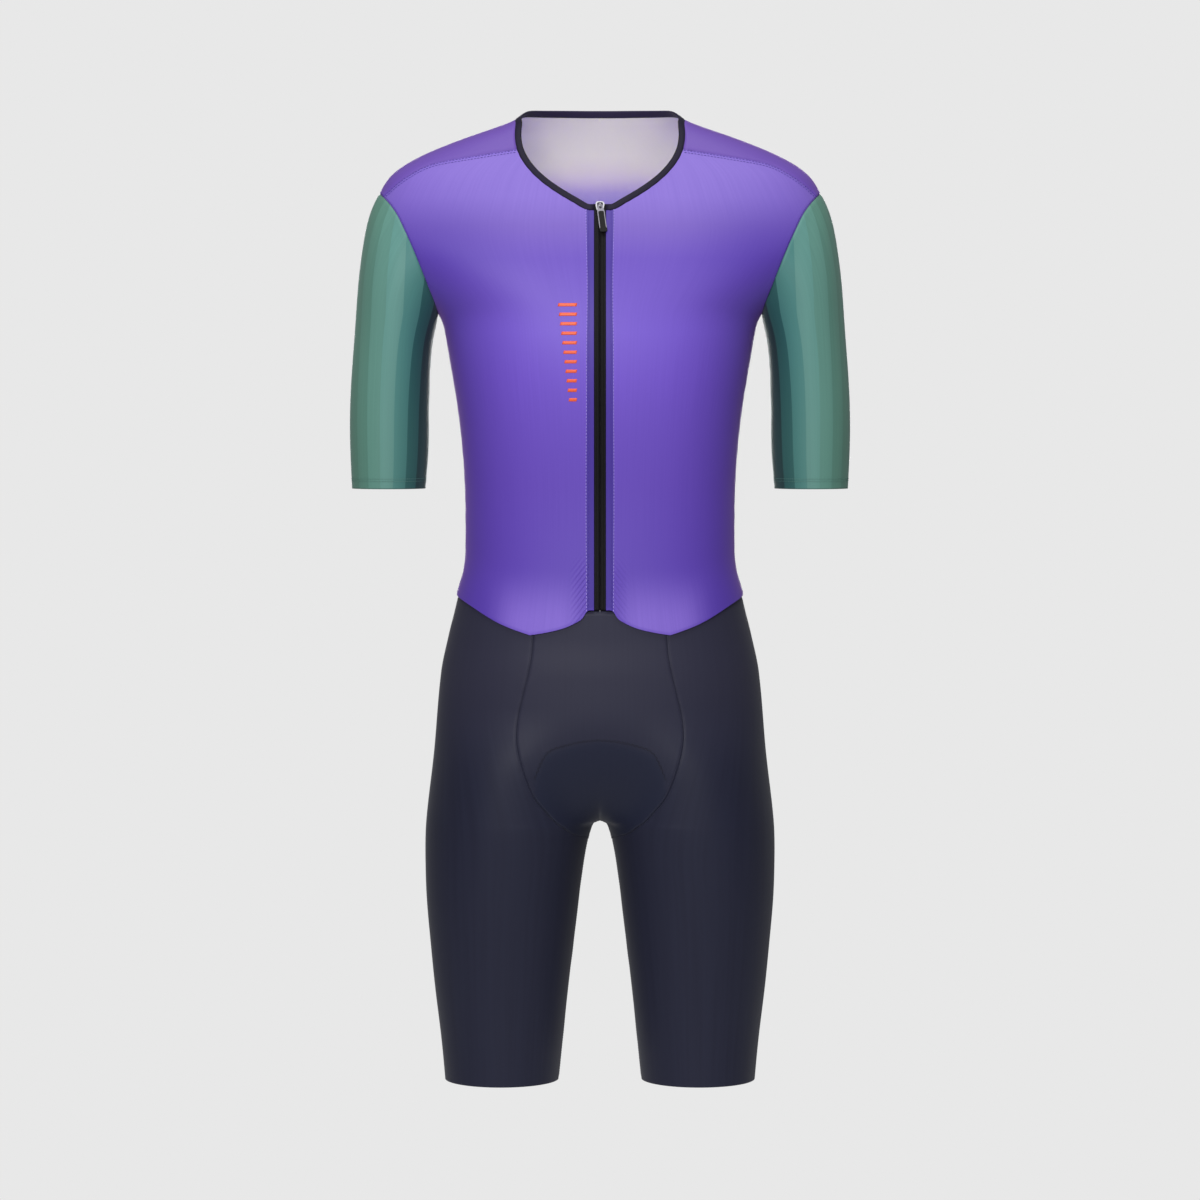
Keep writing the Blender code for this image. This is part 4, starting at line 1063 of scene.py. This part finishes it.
def binding_cloth():
    """The band round the neck: an outer face whose thickness rounds its edges."""
    line = joined(FRONT_NECK, BACK_NECK)
    seam, normals = form(line[:, 0], line[:, 1]), form_normal(line[:, 0], line[:, 1])
    along = np.gradient(seam, axis=0)
    along[-1] = (-1, 0, 0)
    up = unit(np.cross(along, normals))
    up *= np.sign(up[-1, 2])
    up[0, 0] = 0
    up = unit(up) * (BIND_WIDTH + BIND_BACK * ease(line[:, 0] - BIND_TURN))[:, None]
    rows = [seam + up * away + normals * BIND_LIFT * lift
            for away, lift, thick in BIND_SECTION]
    away = np.array([row[0] for row in BIND_SECTION])[:, None] * BIND_WIDTH
    knit = np.stack(np.broadcast_arrays(run_length(seam)[None], away), axis=-1)
    cloth = Cloth(np.array(rows)[::-1], np.broadcast_to(normals, (len(rows),) + normals.shape),
                  knit[::-1])
    cloth.thickness = np.broadcast_to(
        np.array([thick * MM for away, lift, thick in BIND_SECTION])[::-1, None],
        cloth.points.shape[:2])
    cloth.points[:, -1, 0] = 0
    return cloth


# ---------------------------------------------------------------- thread and seams
THREAD = 0.24 * MM              # radius
STITCH = (2.7 * MM, 2.1 * MM)   # pitch, and length of the part that shows
BOLD_THREAD = 0.34 * MM
BOLD_STITCH = (3.4 * MM, 2.2 * MM)
# rings of a stitch: share of its length, and lift and radius as shares of the thread's radius
STITCH_RINGS = ((-0.5, -0.8, 0.5), (-0.38, 0.5, 0.9), (0, 0.9, 1), (0.38, 0.5, 0.9),
                (0.5, -0.8, 0.5))
UNDER = CLOTH + 0.12 * MM       # depth at which a seam's allowance lies under the cloth
ALLOWANCE = 0.5 * MM            # and its thickness
ALLOWANCE_FAR, ALLOWANCE_NEAR = 3.2 * MM, 0.6 * MM      # its rows' distances from the seam
ALLOWANCE_POINTS = 120


def resample(points, normals, count):
    """The same line as so many points at equal distances."""
    run = run_length(points)
    goal = np.linspace(0, run[-1], count)
    return (np.stack([np.interp(goal, run, points[:, k]) for k in range(3)], axis=-1),
            unit(np.stack([np.interp(goal, run, normals[:, k]) for k in range(3)], axis=-1)))


def opposite(line):
    """A line of points and directions on the other side of the suit."""
    return tuple(values * (-1, 1, 1) for values in line)


def stitched(name, lines, material, size=STITCH, zigzag=0.0, radius=THREAD):
    """Rows of stitches along lines on the cloth, whose ends dive into it, as one mesh."""
    pitch, length = size
    share, lift, radii = np.array(STITCH_RINGS).T
    paths, ups = [], []
    for points, normals in lines:
        run = run_length(points)
        starts = np.arange(pitch / 2, run[-1] - pitch / 4, pitch)
        sign = np.where(np.arange(len(starts)) % 2, 1, -1)[:, None, None]
        at = np.clip(starts[:, None] + share * length, 0, run[-1])
        spots = np.stack([np.interp(at, run, points[:, k]) for k in range(3)], axis=-1)
        up = unit(np.stack([np.interp(at, run, normals[:, k]) for k in range(3)], axis=-1))
        across = unit(np.cross(up, np.gradient(spots, axis=1)))
        paths.append(spots + up * radius * lift[:, None]
                     + across * sign * zigzag * share[:, None] * 2)
        ups.append(up)
    return tubes(name, np.concatenate(paths), np.concatenate(ups), radii * radius, material,
                 sides=5)


def strip(first, second):
    """The allowance of a seam, under the edges of two cloths. Each is a function that gives
    the line on its cloth at a distance from the seam, both from the same end."""
    rows = [resample(*side(distance), ALLOWANCE_POINTS) for side, distance in
            ((first, ALLOWANCE_FAR), (first, ALLOWANCE_NEAR),
             (second, ALLOWANCE_NEAR), (second, ALLOWANCE_FAR))]
    points = np.array([points - normals * UNDER for points, normals in rows])
    knit = np.stack(np.meshgrid(np.arange(ALLOWANCE_POINTS) * MM, np.arange(len(rows)) * MM),
                    axis=-1)
    cloth = Cloth(points, np.array([normals for points, normals in rows]), knit)
    cloth.thickness = ALLOWANCE
    facing = np.cross(points[1, 1] - points[0, 1], points[0, 1] - points[0, 0])
    return cloth if np.dot(facing, rows[0][1][0]) < 0 else cloth.reversed_columns()


class Seams:
    """Lines beside the seams, each as a function of the distance from the seam."""

    def __init__(self, front, back, arm, gusset, thigh):
        extra = len(NEAR_EDGE)
        tip = ARMHOLE_FRONT + 1 + extra
        neck = NECK_COLUMNS
        behind = ARMHOLE_BACK + 1 + extra
        inseam = GUSSET_ROWS

        def part(cloth, edge, chosen):
            return lambda away: tuple(values[chosen] for values in cloth.line(edge, away))
        self.shoulder = (part(front, "top", np.s_[neck + extra:]), part(back, "top", np.s_[:]))
        self.armhole_front = (part(front, "right", np.s_[:tip]),
                              part(arm, "top", np.s_[tip - 1::-1]))
        self.armhole_back = (part(back, "right", np.s_[:behind]),
                             part(arm, "top", np.s_[tip - 1:]))
        self.side = (part(front, "right", np.s_[tip - 1:]),
                     part(back, "right", np.s_[behind - 1:]))
        self.underarm = (part(arm, "left", np.s_[:]), part(arm, "right", np.s_[:]))
        self.centre_front = (part(gusset, "right", np.s_[:]),
                             part(thigh, "left", np.s_[:inseam + 1]))
        self.inseam = (part(thigh, "left", np.s_[inseam:]),
                       part(thigh, "right", np.s_[-(LEG_LOWER_ROWS + extra + 1):]))
        self.zip_band = part(front, "left", np.s_[:])
        self.cuff = part(arm, "bottom", np.s_[:])
        self.centre_back = part(thigh, "right", np.s_[:GUSSET_ROWS - GUSSET_COLUMNS + 1])


def both_sides(lines):
    return lines + [opposite(line) for line in lines]


def make_seams(seams):
    """Rows of stitches beside the seams, and the allowances under the cloths' edges."""
    purple = thread_finish("purple", (186, 168, 240), (160, 140, 226))
    deep = thread_finish("deep_purple", (76, 56, 156), (62, 44, 138))
    green = thread_finish("green", (92, 134, 124), (74, 112, 104))
    slate = thread_finish("slate", (48, 50, 68), (38, 40, 56))
    tape = plain_finish("seam_allowance", (128, 116, 176), (108, 96, 156), 0.8)
    slate_tape = plain_finish("seam_allowance_slate", (44, 46, 62), (36, 38, 52), 0.8)

    armholes = seams.armhole_front[0], seams.armhole_back[0]
    bold, fine = (BOLD_STITCH, BOLD_THREAD), (STITCH, THREAD)
    # name, lines and their distances from the seam in millimetres, kind of stitch, thread, slot
    for name, lines, away, (size, radius), thread, slot in (
            ("zip_bands", [seams.zip_band], (8.2,), bold, purple, "jersey_knit"),
            ("zip_bands_inner", [seams.zip_band], (5.4,), fine, deep, "jersey_knit"),
            ("shoulders", [seams.shoulder[0]] * 2, (1.6, 4.4), bold, deep, "jersey_knit"),
            ("armholes", armholes, (1.5, 1.5), fine, deep, "jersey_knit"),
            ("sides", seams.side, (1.5, 1.5), fine, deep, "jersey_knit"),
            ("cuffs", [seams.cuff] * 2, (8, 10.5), fine, green, "sleeve_knit"),
            ("underarms", seams.underarm, (1.5, 1.5), fine, green, "sleeve_knit"),
            ("centre_front", seams.centre_front, (1.4, 1.4), fine, slate, "shorts_knit"),
            ("inseams", seams.inseam, (1.4, 1.4), fine, slate, "shorts_knit"),
            ("centre_back", [seams.centre_back], (1.4,), fine, slate, "shorts_knit")):
        rows = [line(distance * MM) for line, distance in zip(lines, away)]
        dress(stitched("stitch_" + name, both_sides(rows), thread, size=size, radius=radius),
              slot=slot)
    for name, pairs, material, slot in (
            ("shoulders", [seams.shoulder], tape, "jersey_knit"),
            ("armholes", [seams.armhole_front, seams.armhole_back], tape, "jersey_knit"),
            ("sides", [seams.side], tape, "jersey_knit"),
            ("underarms", [seams.underarm], tape, "sleeve_knit"),
            ("centre_front", [seams.centre_front], slate_tape, "shorts_knit"),
            ("inseams", [seams.inseam], slate_tape, "shorts_knit")):
        strips = [strip(*pair) for pair in pairs]
        dress(shell("allowance_" + name, strips + [one.mirror() for one in strips],
                    [material] * 2), slot=slot)


# ---------------------------------------------------------------- zip
ZIP_SINK = TAPE_SINK            # the tapes lie this far under the jersey's face
TAPE_THICK = 0.6 * MM
TAPE_MEET = 0.15 * MM           # half of the slit between the closed tapes
RIDGE = (2.5 * MM, 1.1 * MM, 0.35 * MM)     # the fold over the coil: middle, width and height
TAPE_ROLL = (0.7 * MM, 0.45 * MM)           # how far the inner edge rolls in, and over what width
TAPE_COLUMNS, TAPE_ROWS = 22, 240
TAPE_STITCHED = (7, 12)         # columns along which the tape is stitched
PARTING_LENGTH = 4 * MM
COIL_PITCH = 1.3 * MM
COIL_RADIUS = 0.33 * MM
COIL_REACH = (2.3 * MM, -0.5 * MM)          # from a coil's back to its head, past the middle
COIL_SINK = ZIP_SINK + TAPE_THICK + 0.5 * MM
# a loop, from its back to its head and back again: rise in half pitches, and depth in mm
COIL_RISE = (-0.9, -0.3, 0, 0.1, 0.5, 0.9, 1, 1.3, 1.9)
COIL_DEEP = (0.5, 0, 0, 0, 0.3, 0.6, 0.6, 0.6, 1.1)
WEAVE = (0.5 * MM, 0.4 * MM)    # half-width and height of one herringbone
ZIP_STITCH = (1.9 * MM, 1.5 * MM)           # pitch and length
ZIP_THREAD, ZIP_THREAD_LIFT = 0.2 * MM, 0.05 * MM
RIM_ANGLE, SHARP_ANGLE = math.radians(60), math.radians(50)     # of the small cast pieces


def tape_finish():
    """Black woven tape with a fine herringbone."""
    finish = Finish("zip_weave", 0.6, specular=0.15, sheen=0.02)
    u, v = finish.knit()[0:2]
    along = finish.math("MULTIPLY", v, 2 * math.pi / WEAVE[1])
    lean = finish.math("MULTIPLY", finish.math("PINGPONG", u, WEAVE[0]), 5000.0)
    twill = finish.math("SINE", finish.math("ADD", along, lean))
    tone = finish.math("MULTIPLY_ADD", twill, 0.5, 0.5)
    finish.colour(finish.mix(tone, linear(6, 5, 8), linear(13, 11, 17)))
    finish.bump(tone, 0.15, KNIT_DEEP)
    return finish.material


def tape_cloth():
    """The left half of the zip's tape; its inner edge parts round the slider at the top."""
    z = np.linspace(ZIP_TOP, ZIP_BOTTOM, TAPE_ROWS + 1)[:, None]
    parted = ease((z - PARTING_END) / PARTING_LENGTH)
    edge = TAPE_MEET + (TAPE_PARTING - TAPE_MEET) * parted
    share = np.linspace(0, 1, TAPE_COLUMNS + 1)[None, :] ** 1.4
    x = edge + (TAPE_HALF - edge) * share
    z = np.broadcast_to(z, x.shape)
    middle, width, height = RIDGE
    raised = height * np.exp(-((x - middle) / width) ** 2)
    roll, reach = TAPE_ROLL
    rolled = roll * np.exp(-((x - edge) / reach) ** 2)
    cloth = chart_cloth(np.stack((front_turn(x, z), z), axis=-1), ZIP_SINK - raised + rolled)
    cloth.knit = np.stack((x, z), axis=-1)
    cloth.thickness = TAPE_THICK
    return cloth


def coil_paths():
    """The loops of the coil on one side: a path, and upper side, for each."""
    low, high = ZIP_BOTTOM + 0.2 * MM, PARTING_END - 1 * MM
    heights = np.arange(low, high, COIL_PITCH)[:, None]
    back, head = COIL_REACH
    x = np.array((back, back, back * 0.4, head * 0.6, head, head * 0.6, back * 0.4, back, back))
    z = heights + np.array(COIL_RISE) * COIL_PITCH * 0.5
    deep = np.array(COIL_DEEP) * MM
    turn = np.broadcast_to(0.0, z.shape)
    normals = form_normal(turn, z)
    spots = form(turn, z) - normals * (COIL_SINK + deep)[None, :, None]
    spots[..., 0] = x
    return spots, normals


def rounded(corners, radius, steps=4):
    """A polygon with its corners rounded, as (x, y) points."""
    corners = np.asarray(corners, float)
    points = []
    for before, corner, after in zip(np.roll(corners, 1, 0), corners, np.roll(corners, -1, 0)):
        arms = [point - corner for point in (before, after)]
        reach = min([radius] + [np.linalg.norm(arm) * 0.45 for arm in arms])
        start, end = (corner + arm / np.linalg.norm(arm) * reach for arm in arms)
        for share in np.linspace(0, 1, steps + 1):
            points.append(start * (1 - share) ** 2 + 2 * corner * share * (1 - share)
                          + end * share ** 2)
    return points


def plate(name, outer, holes, low, high, edge, matrix, material):
    """A flat plate from outlines in millimetres, between two heights, with rounded rims."""
    shape = bmesh.new()
    loops = []
    for outline_points in [outer] + holes:
        corners = [shape.verts.new((x * MM, y * MM, low * MM)) for x, y in outline_points]
        loops += [shape.edges.new((a, b)) for a, b in zip(corners, corners[1:] + corners[:1])]
    filled = bmesh.ops.triangle_fill(shape, edges=loops, use_beauty=True, use_dissolve=False)
    faces = [item for item in filled["geom"] if isinstance(item, bmesh.types.BMFace)]
    raised = bmesh.ops.extrude_face_region(shape, geom=faces)
    for item in raised["geom"]:
        if isinstance(item, bmesh.types.BMVert):
            item.co.z = high * MM
    bmesh.ops.recalc_face_normals(shape, faces=shape.faces[:])
    rims = [line for line in shape.edges
            if len(line.link_faces) == 2 and line.calc_face_angle() > RIM_ANGLE]
    bmesh.ops.bevel(shape, geom=rims, offset=edge * MM, segments=2, affect="EDGES",
                    clamp_overlap=True)
    mesh = bpy.data.meshes.new(name)
    shape.to_mesh(mesh)
    shape.free()
    mesh.materials.append(material)
    mesh.shade_smooth()
    mesh.set_sharp_from_angle(angle=SHARP_ANGLE)
    piece = bpy.data.objects.new(name, mesh)
    bpy.context.scene.collection.objects.link(piece)
    piece.matrix_world = matrix
    return piece


def bar(name, points, half, flat, matrix, material, sides=12):
    """A bent bar through points in millimetres, half as wide as given."""
    spots = np.array([smooth(range(len(points)), column)(np.linspace(0, len(points) - 1, 24))
                      for column in np.array(points, float).T]).T
    world = np.array([tuple(matrix @ Vector(tuple(spot * MM))) for spot in spots])
    side = np.array(tuple(matrix.to_3x3() @ Vector((1, 0, 0))))
    ups = unit(np.cross(side, np.gradient(world, axis=0)))
    return tubes(name, world[None], ups[None], half * MM, material, sides=sides, flat=flat)


def slider_frame():
    """Axes of the slider: across, up along the zip, and out from the chest."""
    origin, out = form(0, SLIDER_AT), form_normal(0, SLIDER_AT)
    across = np.array((1.0, 0.0, 0.0))
    axes = np.eye(4)
    axes[:3] = np.stack((across, np.cross(out, across), out, origin), axis=-1)
    return Matrix(axes.tolist())


# outlines of the slider and its tab in millimetres, and the line of the slider's arch
SLIDER_FRONT = ((-2.0, 5.6), (2.0, 5.6), (4.2, 4.6), (4.6, 2.2), (4.1, -1.5), (3.1, -5.2),
                (1.2, -5.6), (-1.2, -5.6), (-3.1, -5.2), (-4.1, -1.5), (-4.6, 2.2), (-4.2, 4.6))
ARCH_LINE = ((0, -3.4, -0.3), (0, -2.9, 1.6), (0, -1.9, 3.0), (0, 0.2, 3.35), (0, 2.2, 2.7),
             (0, 3.2, 1.2), (0, 3.6, -0.3))
# the outline of the dark plate of painted shadow under the slider's arch
SLIDER_SHADOW_OUTLINE = ((-2.2, 4.4), (2.2, 4.4), (3.2, 2.4), (2.9, -1.8), (1.8, -4.2), (-1.8, -4.2),
                 (-2.9, -1.8), (-3.2, 2.4))
SLIDER_POST = ((-1.2, 4.0), (1.2, 4.0), (0.7, 0.6), (-0.7, 0.6))
TAB = ((-2.4, 0.9), (2.4, 0.9), (2.9, -4.2), (3.7, -6.8), (3.7, -29.6), (2.6, -31.0),
       (-2.6, -31.0), (-3.7, -29.6), (-3.7, -6.8), (-2.9, -4.2))
TAB_EYE = ((-1.3, -0.8), (1.3, -0.8), (1.3, -4.0), (-1.3, -4.0))
TAB_PANEL = ((-1.9, -7.0), (1.9, -7.0), (2.8, -8.0), (2.8, -26.2), (3.8, -27.4), (3.8, -30.0),
             (2.7, -31.2), (-2.7, -31.2), (-3.8, -30.0), (-3.8, -27.4), (-2.8, -26.2),
             (-2.8, -8.0))


def make_zip():
    weave = tape_finish()
    coil = plain_finish("zip_coil", (24, 22, 28), (16, 15, 19), 0.4, specular=0.35, grain=2500)
    thread = thread_finish("black", (22, 20, 27), (15, 13, 18))
    metal = plain_finish("slider_metal", (158, 157, 160), (132, 131, 136), 0.36, grain=700,
                         bump=0.04, metallic=1.0)
    # painted shadow: a dark finish for the plate that stands in for the shade under the slider's
    # arch
    shadow = plain_finish("slider_painted_shadow", (26, 25, 28), (18, 17, 20), 0.5, grain=900, bump=0.05)
    rim = plain_finish("tab_rim", (118, 116, 124), (98, 96, 104), 0.38, grain=900, bump=0.05,
                       metallic=0.8)
    rubber = plain_finish("tab_rubber", (9, 8, 11), (5, 5, 7), 0.55, specular=0.2, grain=1500)

    tape = tape_cloth()
    for side, cloth in (("left", tape), ("right", tape.mirror())):
        piece = dress(shell("zip_weave_" + side, [cloth], [weave, weave]),
                      "zip_tape_" + side, slot="zip_tape")
    spots, normals = coil_paths()
    flip = np.array((-1, 1, 1))
    half_pitch = np.array((0, 0, COIL_PITCH / 2))
    dress(tubes("zip_coils", np.concatenate((spots, spots * flip + half_pitch)),
                np.concatenate((normals, normals * flip)), COIL_RADIUS, coil, sides=6),
          slot="zip_tape")
    lifted = tape.points + tape.normals * ZIP_THREAD_LIFT
    lines = both_sides([(lifted[:, k], tape.normals[:, k]) for k in TAPE_STITCHED])
    dress(stitched("stitch_zip", lines, thread, size=ZIP_STITCH, radius=ZIP_THREAD),
          slot="zip_tape")

    place = slider_frame()
    narrow = place @ Matrix.Diagonal((0.88, 1, 1, 1))
    # name, outline, roundness of its corners, back, front, roundness of the rim, frame, material
    for name, outline, corner, low, high, edge, matrix, material in (
            ("slider_front", SLIDER_FRONT, 1.0, -1.1, 0.2, 0.3, place, metal),
            ("slider_back", SLIDER_FRONT, 1.0, -4.6, -3.5, 0.25, narrow, metal),
            ("slider_post", SLIDER_POST, 0.4, -3.6, -1.0, 0.1, place, metal),
            # painted shadow: a dark plate on the slider's face under its arch
            ("slider_shadow_plate", SLIDER_SHADOW_OUTLINE, 1.0, 0.15, 0.3, 0.06, place, shadow)):
        dress(plate(name, rounded(outline, corner), [], low, high, edge, matrix, material),
              "zip_slider", slot="zip_metal")
    dress(bar("slider_arch", ARCH_LINE, 0.95, 0.62, place, metal), "zip_slider",
          slot="zip_metal")

    hang = place @ Matrix.Translation((0, 0, PIN_OUT)) @ Matrix.Rotation(PULL_TILT, 4, "Z")
    eye = rounded(TAB_EYE, 0.8)[::-1]
    for name, outline, holes, low, high, edge, material in (
            ("tab_frame", rounded(TAB, 1.2), [eye], -0.75, 0.6, 0.22, rim),
            ("tab_panel", rounded(TAB_PANEL, 1.0), [], 0.45, 0.75, 0.12, rubber),
            ("tab_panel_back", rounded(TAB_PANEL, 1.0), [], -0.85, -0.6, 0.1, rubber)):
        piece = plate(name, outline, holes, low, high, edge, hang, material)
        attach(piece, "pull")
        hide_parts("zip_pull")


# ---------------------------------------------------------------- print and pad line
BARS = 11                       # printed bars beside the zip, each shorter than the one above
BAR_TOP, BAR_PITCH, BAR_HEIGHT = -189 * MM, 9.6 * MM, 3.4 * MM
BAR_INNER, BAR_LENGTH, BAR_SLANT = 23 * MM, (19 * MM, 8 * MM), 0.25
PRINT_LIFT, PRINT_THICK = 0.14 * MM, 0.1 * MM
BAR_COLUMNS, BAR_ROWS = 11, 4
PAD_ZIGZAG = (2.4 * MM, 2.0 * MM, 1.1 * MM)     # pitch, length and half-width
PAD_THREAD, PAD_THREAD_LIFT, PAD_LINE_POINTS = 0.3 * MM, 0.25 * MM, 60


def make_print():
    """A column of slanted orange bars printed on the wearer's right."""
    ink = plain_finish("orange_print", (238, 96, 52), (226, 84, 44), 0.45, grain=1500, bump=0.02)
    cloths = []
    long, short = BAR_LENGTH
    u, v = np.meshgrid(np.linspace(0, 1, BAR_COLUMNS), np.linspace(0, 1, BAR_ROWS))
    for k in range(BARS):
        length = long + (short - long) * k / (BARS - 1)
        top = BAR_TOP - k * BAR_PITCH
        z = top - v * BAR_HEIGHT
        x = BAR_INNER + u * length + v * BAR_HEIGHT * BAR_SLANT
        cloth = chart_cloth(np.stack((front_turn(x, z), z), axis=-1), -PRINT_LIFT)
        cloth.thickness = PRINT_THICK
        cloths.append(cloth.mirror())
    dress(shell("printed_bars", cloths, [ink, ink]), slot="jersey_knit")


def make_pad_line():
    """The zigzag that holds the pad, where its upper edge shows on the front."""
    thread = thread_finish("navy", (20, 21, 38), (13, 14, 28), roughness=0.7)
    x = np.linspace(0, PAD_ARC[-1][0] * MM, PAD_LINE_POINTS)
    z = pad_upper(x)
    turn = front_turn(x, z)
    normals = form_normal(turn, z)
    arc = (form(turn, z) + normals * PAD_THREAD_LIFT, normals)
    pitch, length, wide = PAD_ZIGZAG
    dress(stitched("stitch_pad", both_sides([arc]), thread, size=(pitch, length), zigzag=wide,
                   radius=PAD_THREAD),
          slot="shorts_knit")


# ---------------------------------------------------------------- making it all
def dress(piece, *nodes, slot=None):
    """Puts a finished piece on the root body, in place of CAD nodes."""
    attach(piece, "root")
    if nodes:
        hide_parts(*nodes)
    return piece


def make_cloths():
    jersey = jersey_finish("jersey_front_knit", FRONT_COLOUR_AND_LIGHT_BY_HEIGHT)
    yoke = jersey_finish("jersey_back_knit", BACK_COLOUR_AND_SHADE_BY_HEIGHT, points=False)
    reverse = inside_finish()
    sleeve, shorts = sleeve_finish(), shorts_finish()
    sleeve_inside = plain_finish("sleeve_reverse", (150, 178, 172), (132, 164, 158), 0.75)
    shorts_inside = plain_finish("shorts_reverse", (52, 54, 68), (44, 46, 60), 0.8)
    band = band_finish()
    pad = plain_finish("pad_face", (52, 60, 84), (42, 50, 72), 0.9, sheen=0.2, grain=500)
    front, back, arm = front_cloth(), back_cloth(), sleeve_cloth()
    gusset, thigh, neck = gusset_cloth(), leg_cloth(), binding_cloth()
    behind = back.reversed_columns()
    other_behind = behind.mirror()
    other_behind.knit = other_behind.knit + (2 * math.pi * TURN_LENGTH, 0)
    pieces = {}
    for side, turned in (("left", lambda cloth: cloth), ("right", Cloth.mirror)):
        pieces["front_" + side] = dress(
            shell("jersey_front_" + side, [turned(front)], [jersey, reverse]),
            "front_" + side, slot="jersey_knit")
        pieces["sleeve_" + side] = dress(
            shell("jersey_sleeve_" + side, [turned(arm)], [sleeve, sleeve_inside]),
            "sleeve_" + side, slot="sleeve_knit")
        pieces["leg_" + side] = dress(
            shell("shorts_leg_" + side, [turned(thigh)], [shorts, shorts_inside]),
            "leg_" + side, slot="shorts_knit")
    pieces["back"] = dress(shell("jersey_back", [behind, other_behind], [yoke, reverse]),
                           "back", slot="jersey_knit")
    pieces["shorts_front"] = dress(
        shell("shorts_centre_front", [gusset.mirror(), gusset], [shorts, shorts_inside]),
        "shorts_front", slot="shorts_knit")
    pieces["binding"] = dress(shell("neck_band_piece", [neck, neck.mirror()], [band, band]),
                              "neck_binding", slot="binding")
    pieces["pad"] = dress(shell("seat_pad", pad_cloths(), [pad, pad]), "chamois_pad", slot="pad")
    make_seams(Seams(front, back, arm, gusset, thigh))
    return pieces


# ---------------------------------------------------------------- stage
BACKDROP, AROUND = (232, 232, 232), (225, 228, 235)     # as it shows, and as it lights
AROUND_POWER = 0.16
FLOOR_AT, FLOOR_SIZE, FLOOR_GLOW = -1.45, 3.0, 0.8
LIGHTS = (                      # name, place, size and power
    ("key", (-0.9, -4.0, 0.9), (1.6, 1.2), 110),
    ("fill", (1.2, -4.0, 0.0), (1.2, 1.2), 23),
    ("top", (0, -0.9, 1.9), (2.0, 1.0), 32),
    ("back", (0, 4.2, 0.3), (2.2, 1.6), 80))
LIGHTS_AIM = (0, 0, -0.42)
CAMERA_AT, CAMERA_AIM = (0, -4.4, -0.289), (0, 0, -0.4946)
SENSOR, LENS = 36, 127.07       # millimetres


def place_on_stage(name, data, place, aim):
    """A lamp or camera at one place, turned to another."""
    thing = bpy.data.objects.new(name, data)
    bpy.context.scene.collection.objects.link(thing)
    turn = (Vector(aim) - Vector(place)).to_track_quat("-Z", "Y")
    thing.matrix_world = Matrix.Translation(place) @ turn.to_matrix().to_4x4()
    return thing


def make_stage():
    """A pale floor well below the suit, soft lights and the camera."""
    world = bpy.data.worlds.new("studio")
    bpy.context.scene.world = world
    world.use_nodes = True
    nodes, links = world.node_tree.nodes, world.node_tree.links
    backdrop, around = nodes["Background"], nodes.new("ShaderNodeBackground")
    for shader, colour, power in ((backdrop, BACKDROP, 1.0), (around, AROUND, AROUND_POWER)):
        shader.inputs[0].default_value = linear(*colour)
        shader.inputs[1].default_value = power
    seen = nodes.new("ShaderNodeLightPath").outputs["Is Camera Ray"]
    blend = nodes.new("ShaderNodeMixShader")
    links.new(seen, blend.inputs[0])
    links.new(around.outputs[0], blend.inputs[1])
    links.new(backdrop.outputs[0], blend.inputs[2])
    links.new(blend.outputs[0], nodes["World Output"].inputs[0])
    bpy.context.scene.view_settings.view_transform = "Standard"

    bpy.ops.mesh.primitive_plane_add(size=FLOOR_SIZE, location=(0, 0, FLOOR_AT))
    floor = bpy.context.object
    floor.name = "studio_floor"
    paint = plain_finish("floor", (96, 96, 96), (92, 92, 92), 0.9, grain=6.0, bump=0.0)
    shader = paint.node_tree.nodes["Principled BSDF"]
    shader.inputs["Emission Color"].default_value = linear(*BACKDROP)
    shader.inputs["Emission Strength"].default_value = FLOOR_GLOW
    floor.data.materials.append(paint)

    for name, place, size, power in LIGHTS:
        light = bpy.data.lights.new(name, "AREA")
        light.shape, light.size, light.size_y, light.energy = "RECTANGLE", *size, power
        place_on_stage(name, light, place, LIGHTS_AIM)

    camera = bpy.data.cameras.new("camera")
    camera.sensor_width, camera.lens = SENSOR, LENS
    bpy.context.scene.camera = place_on_stage("camera", camera, CAMERA_AT, CAMERA_AIM)


pieces = make_cloths()
make_zip()
make_print()
make_pad_line()
make_stage()
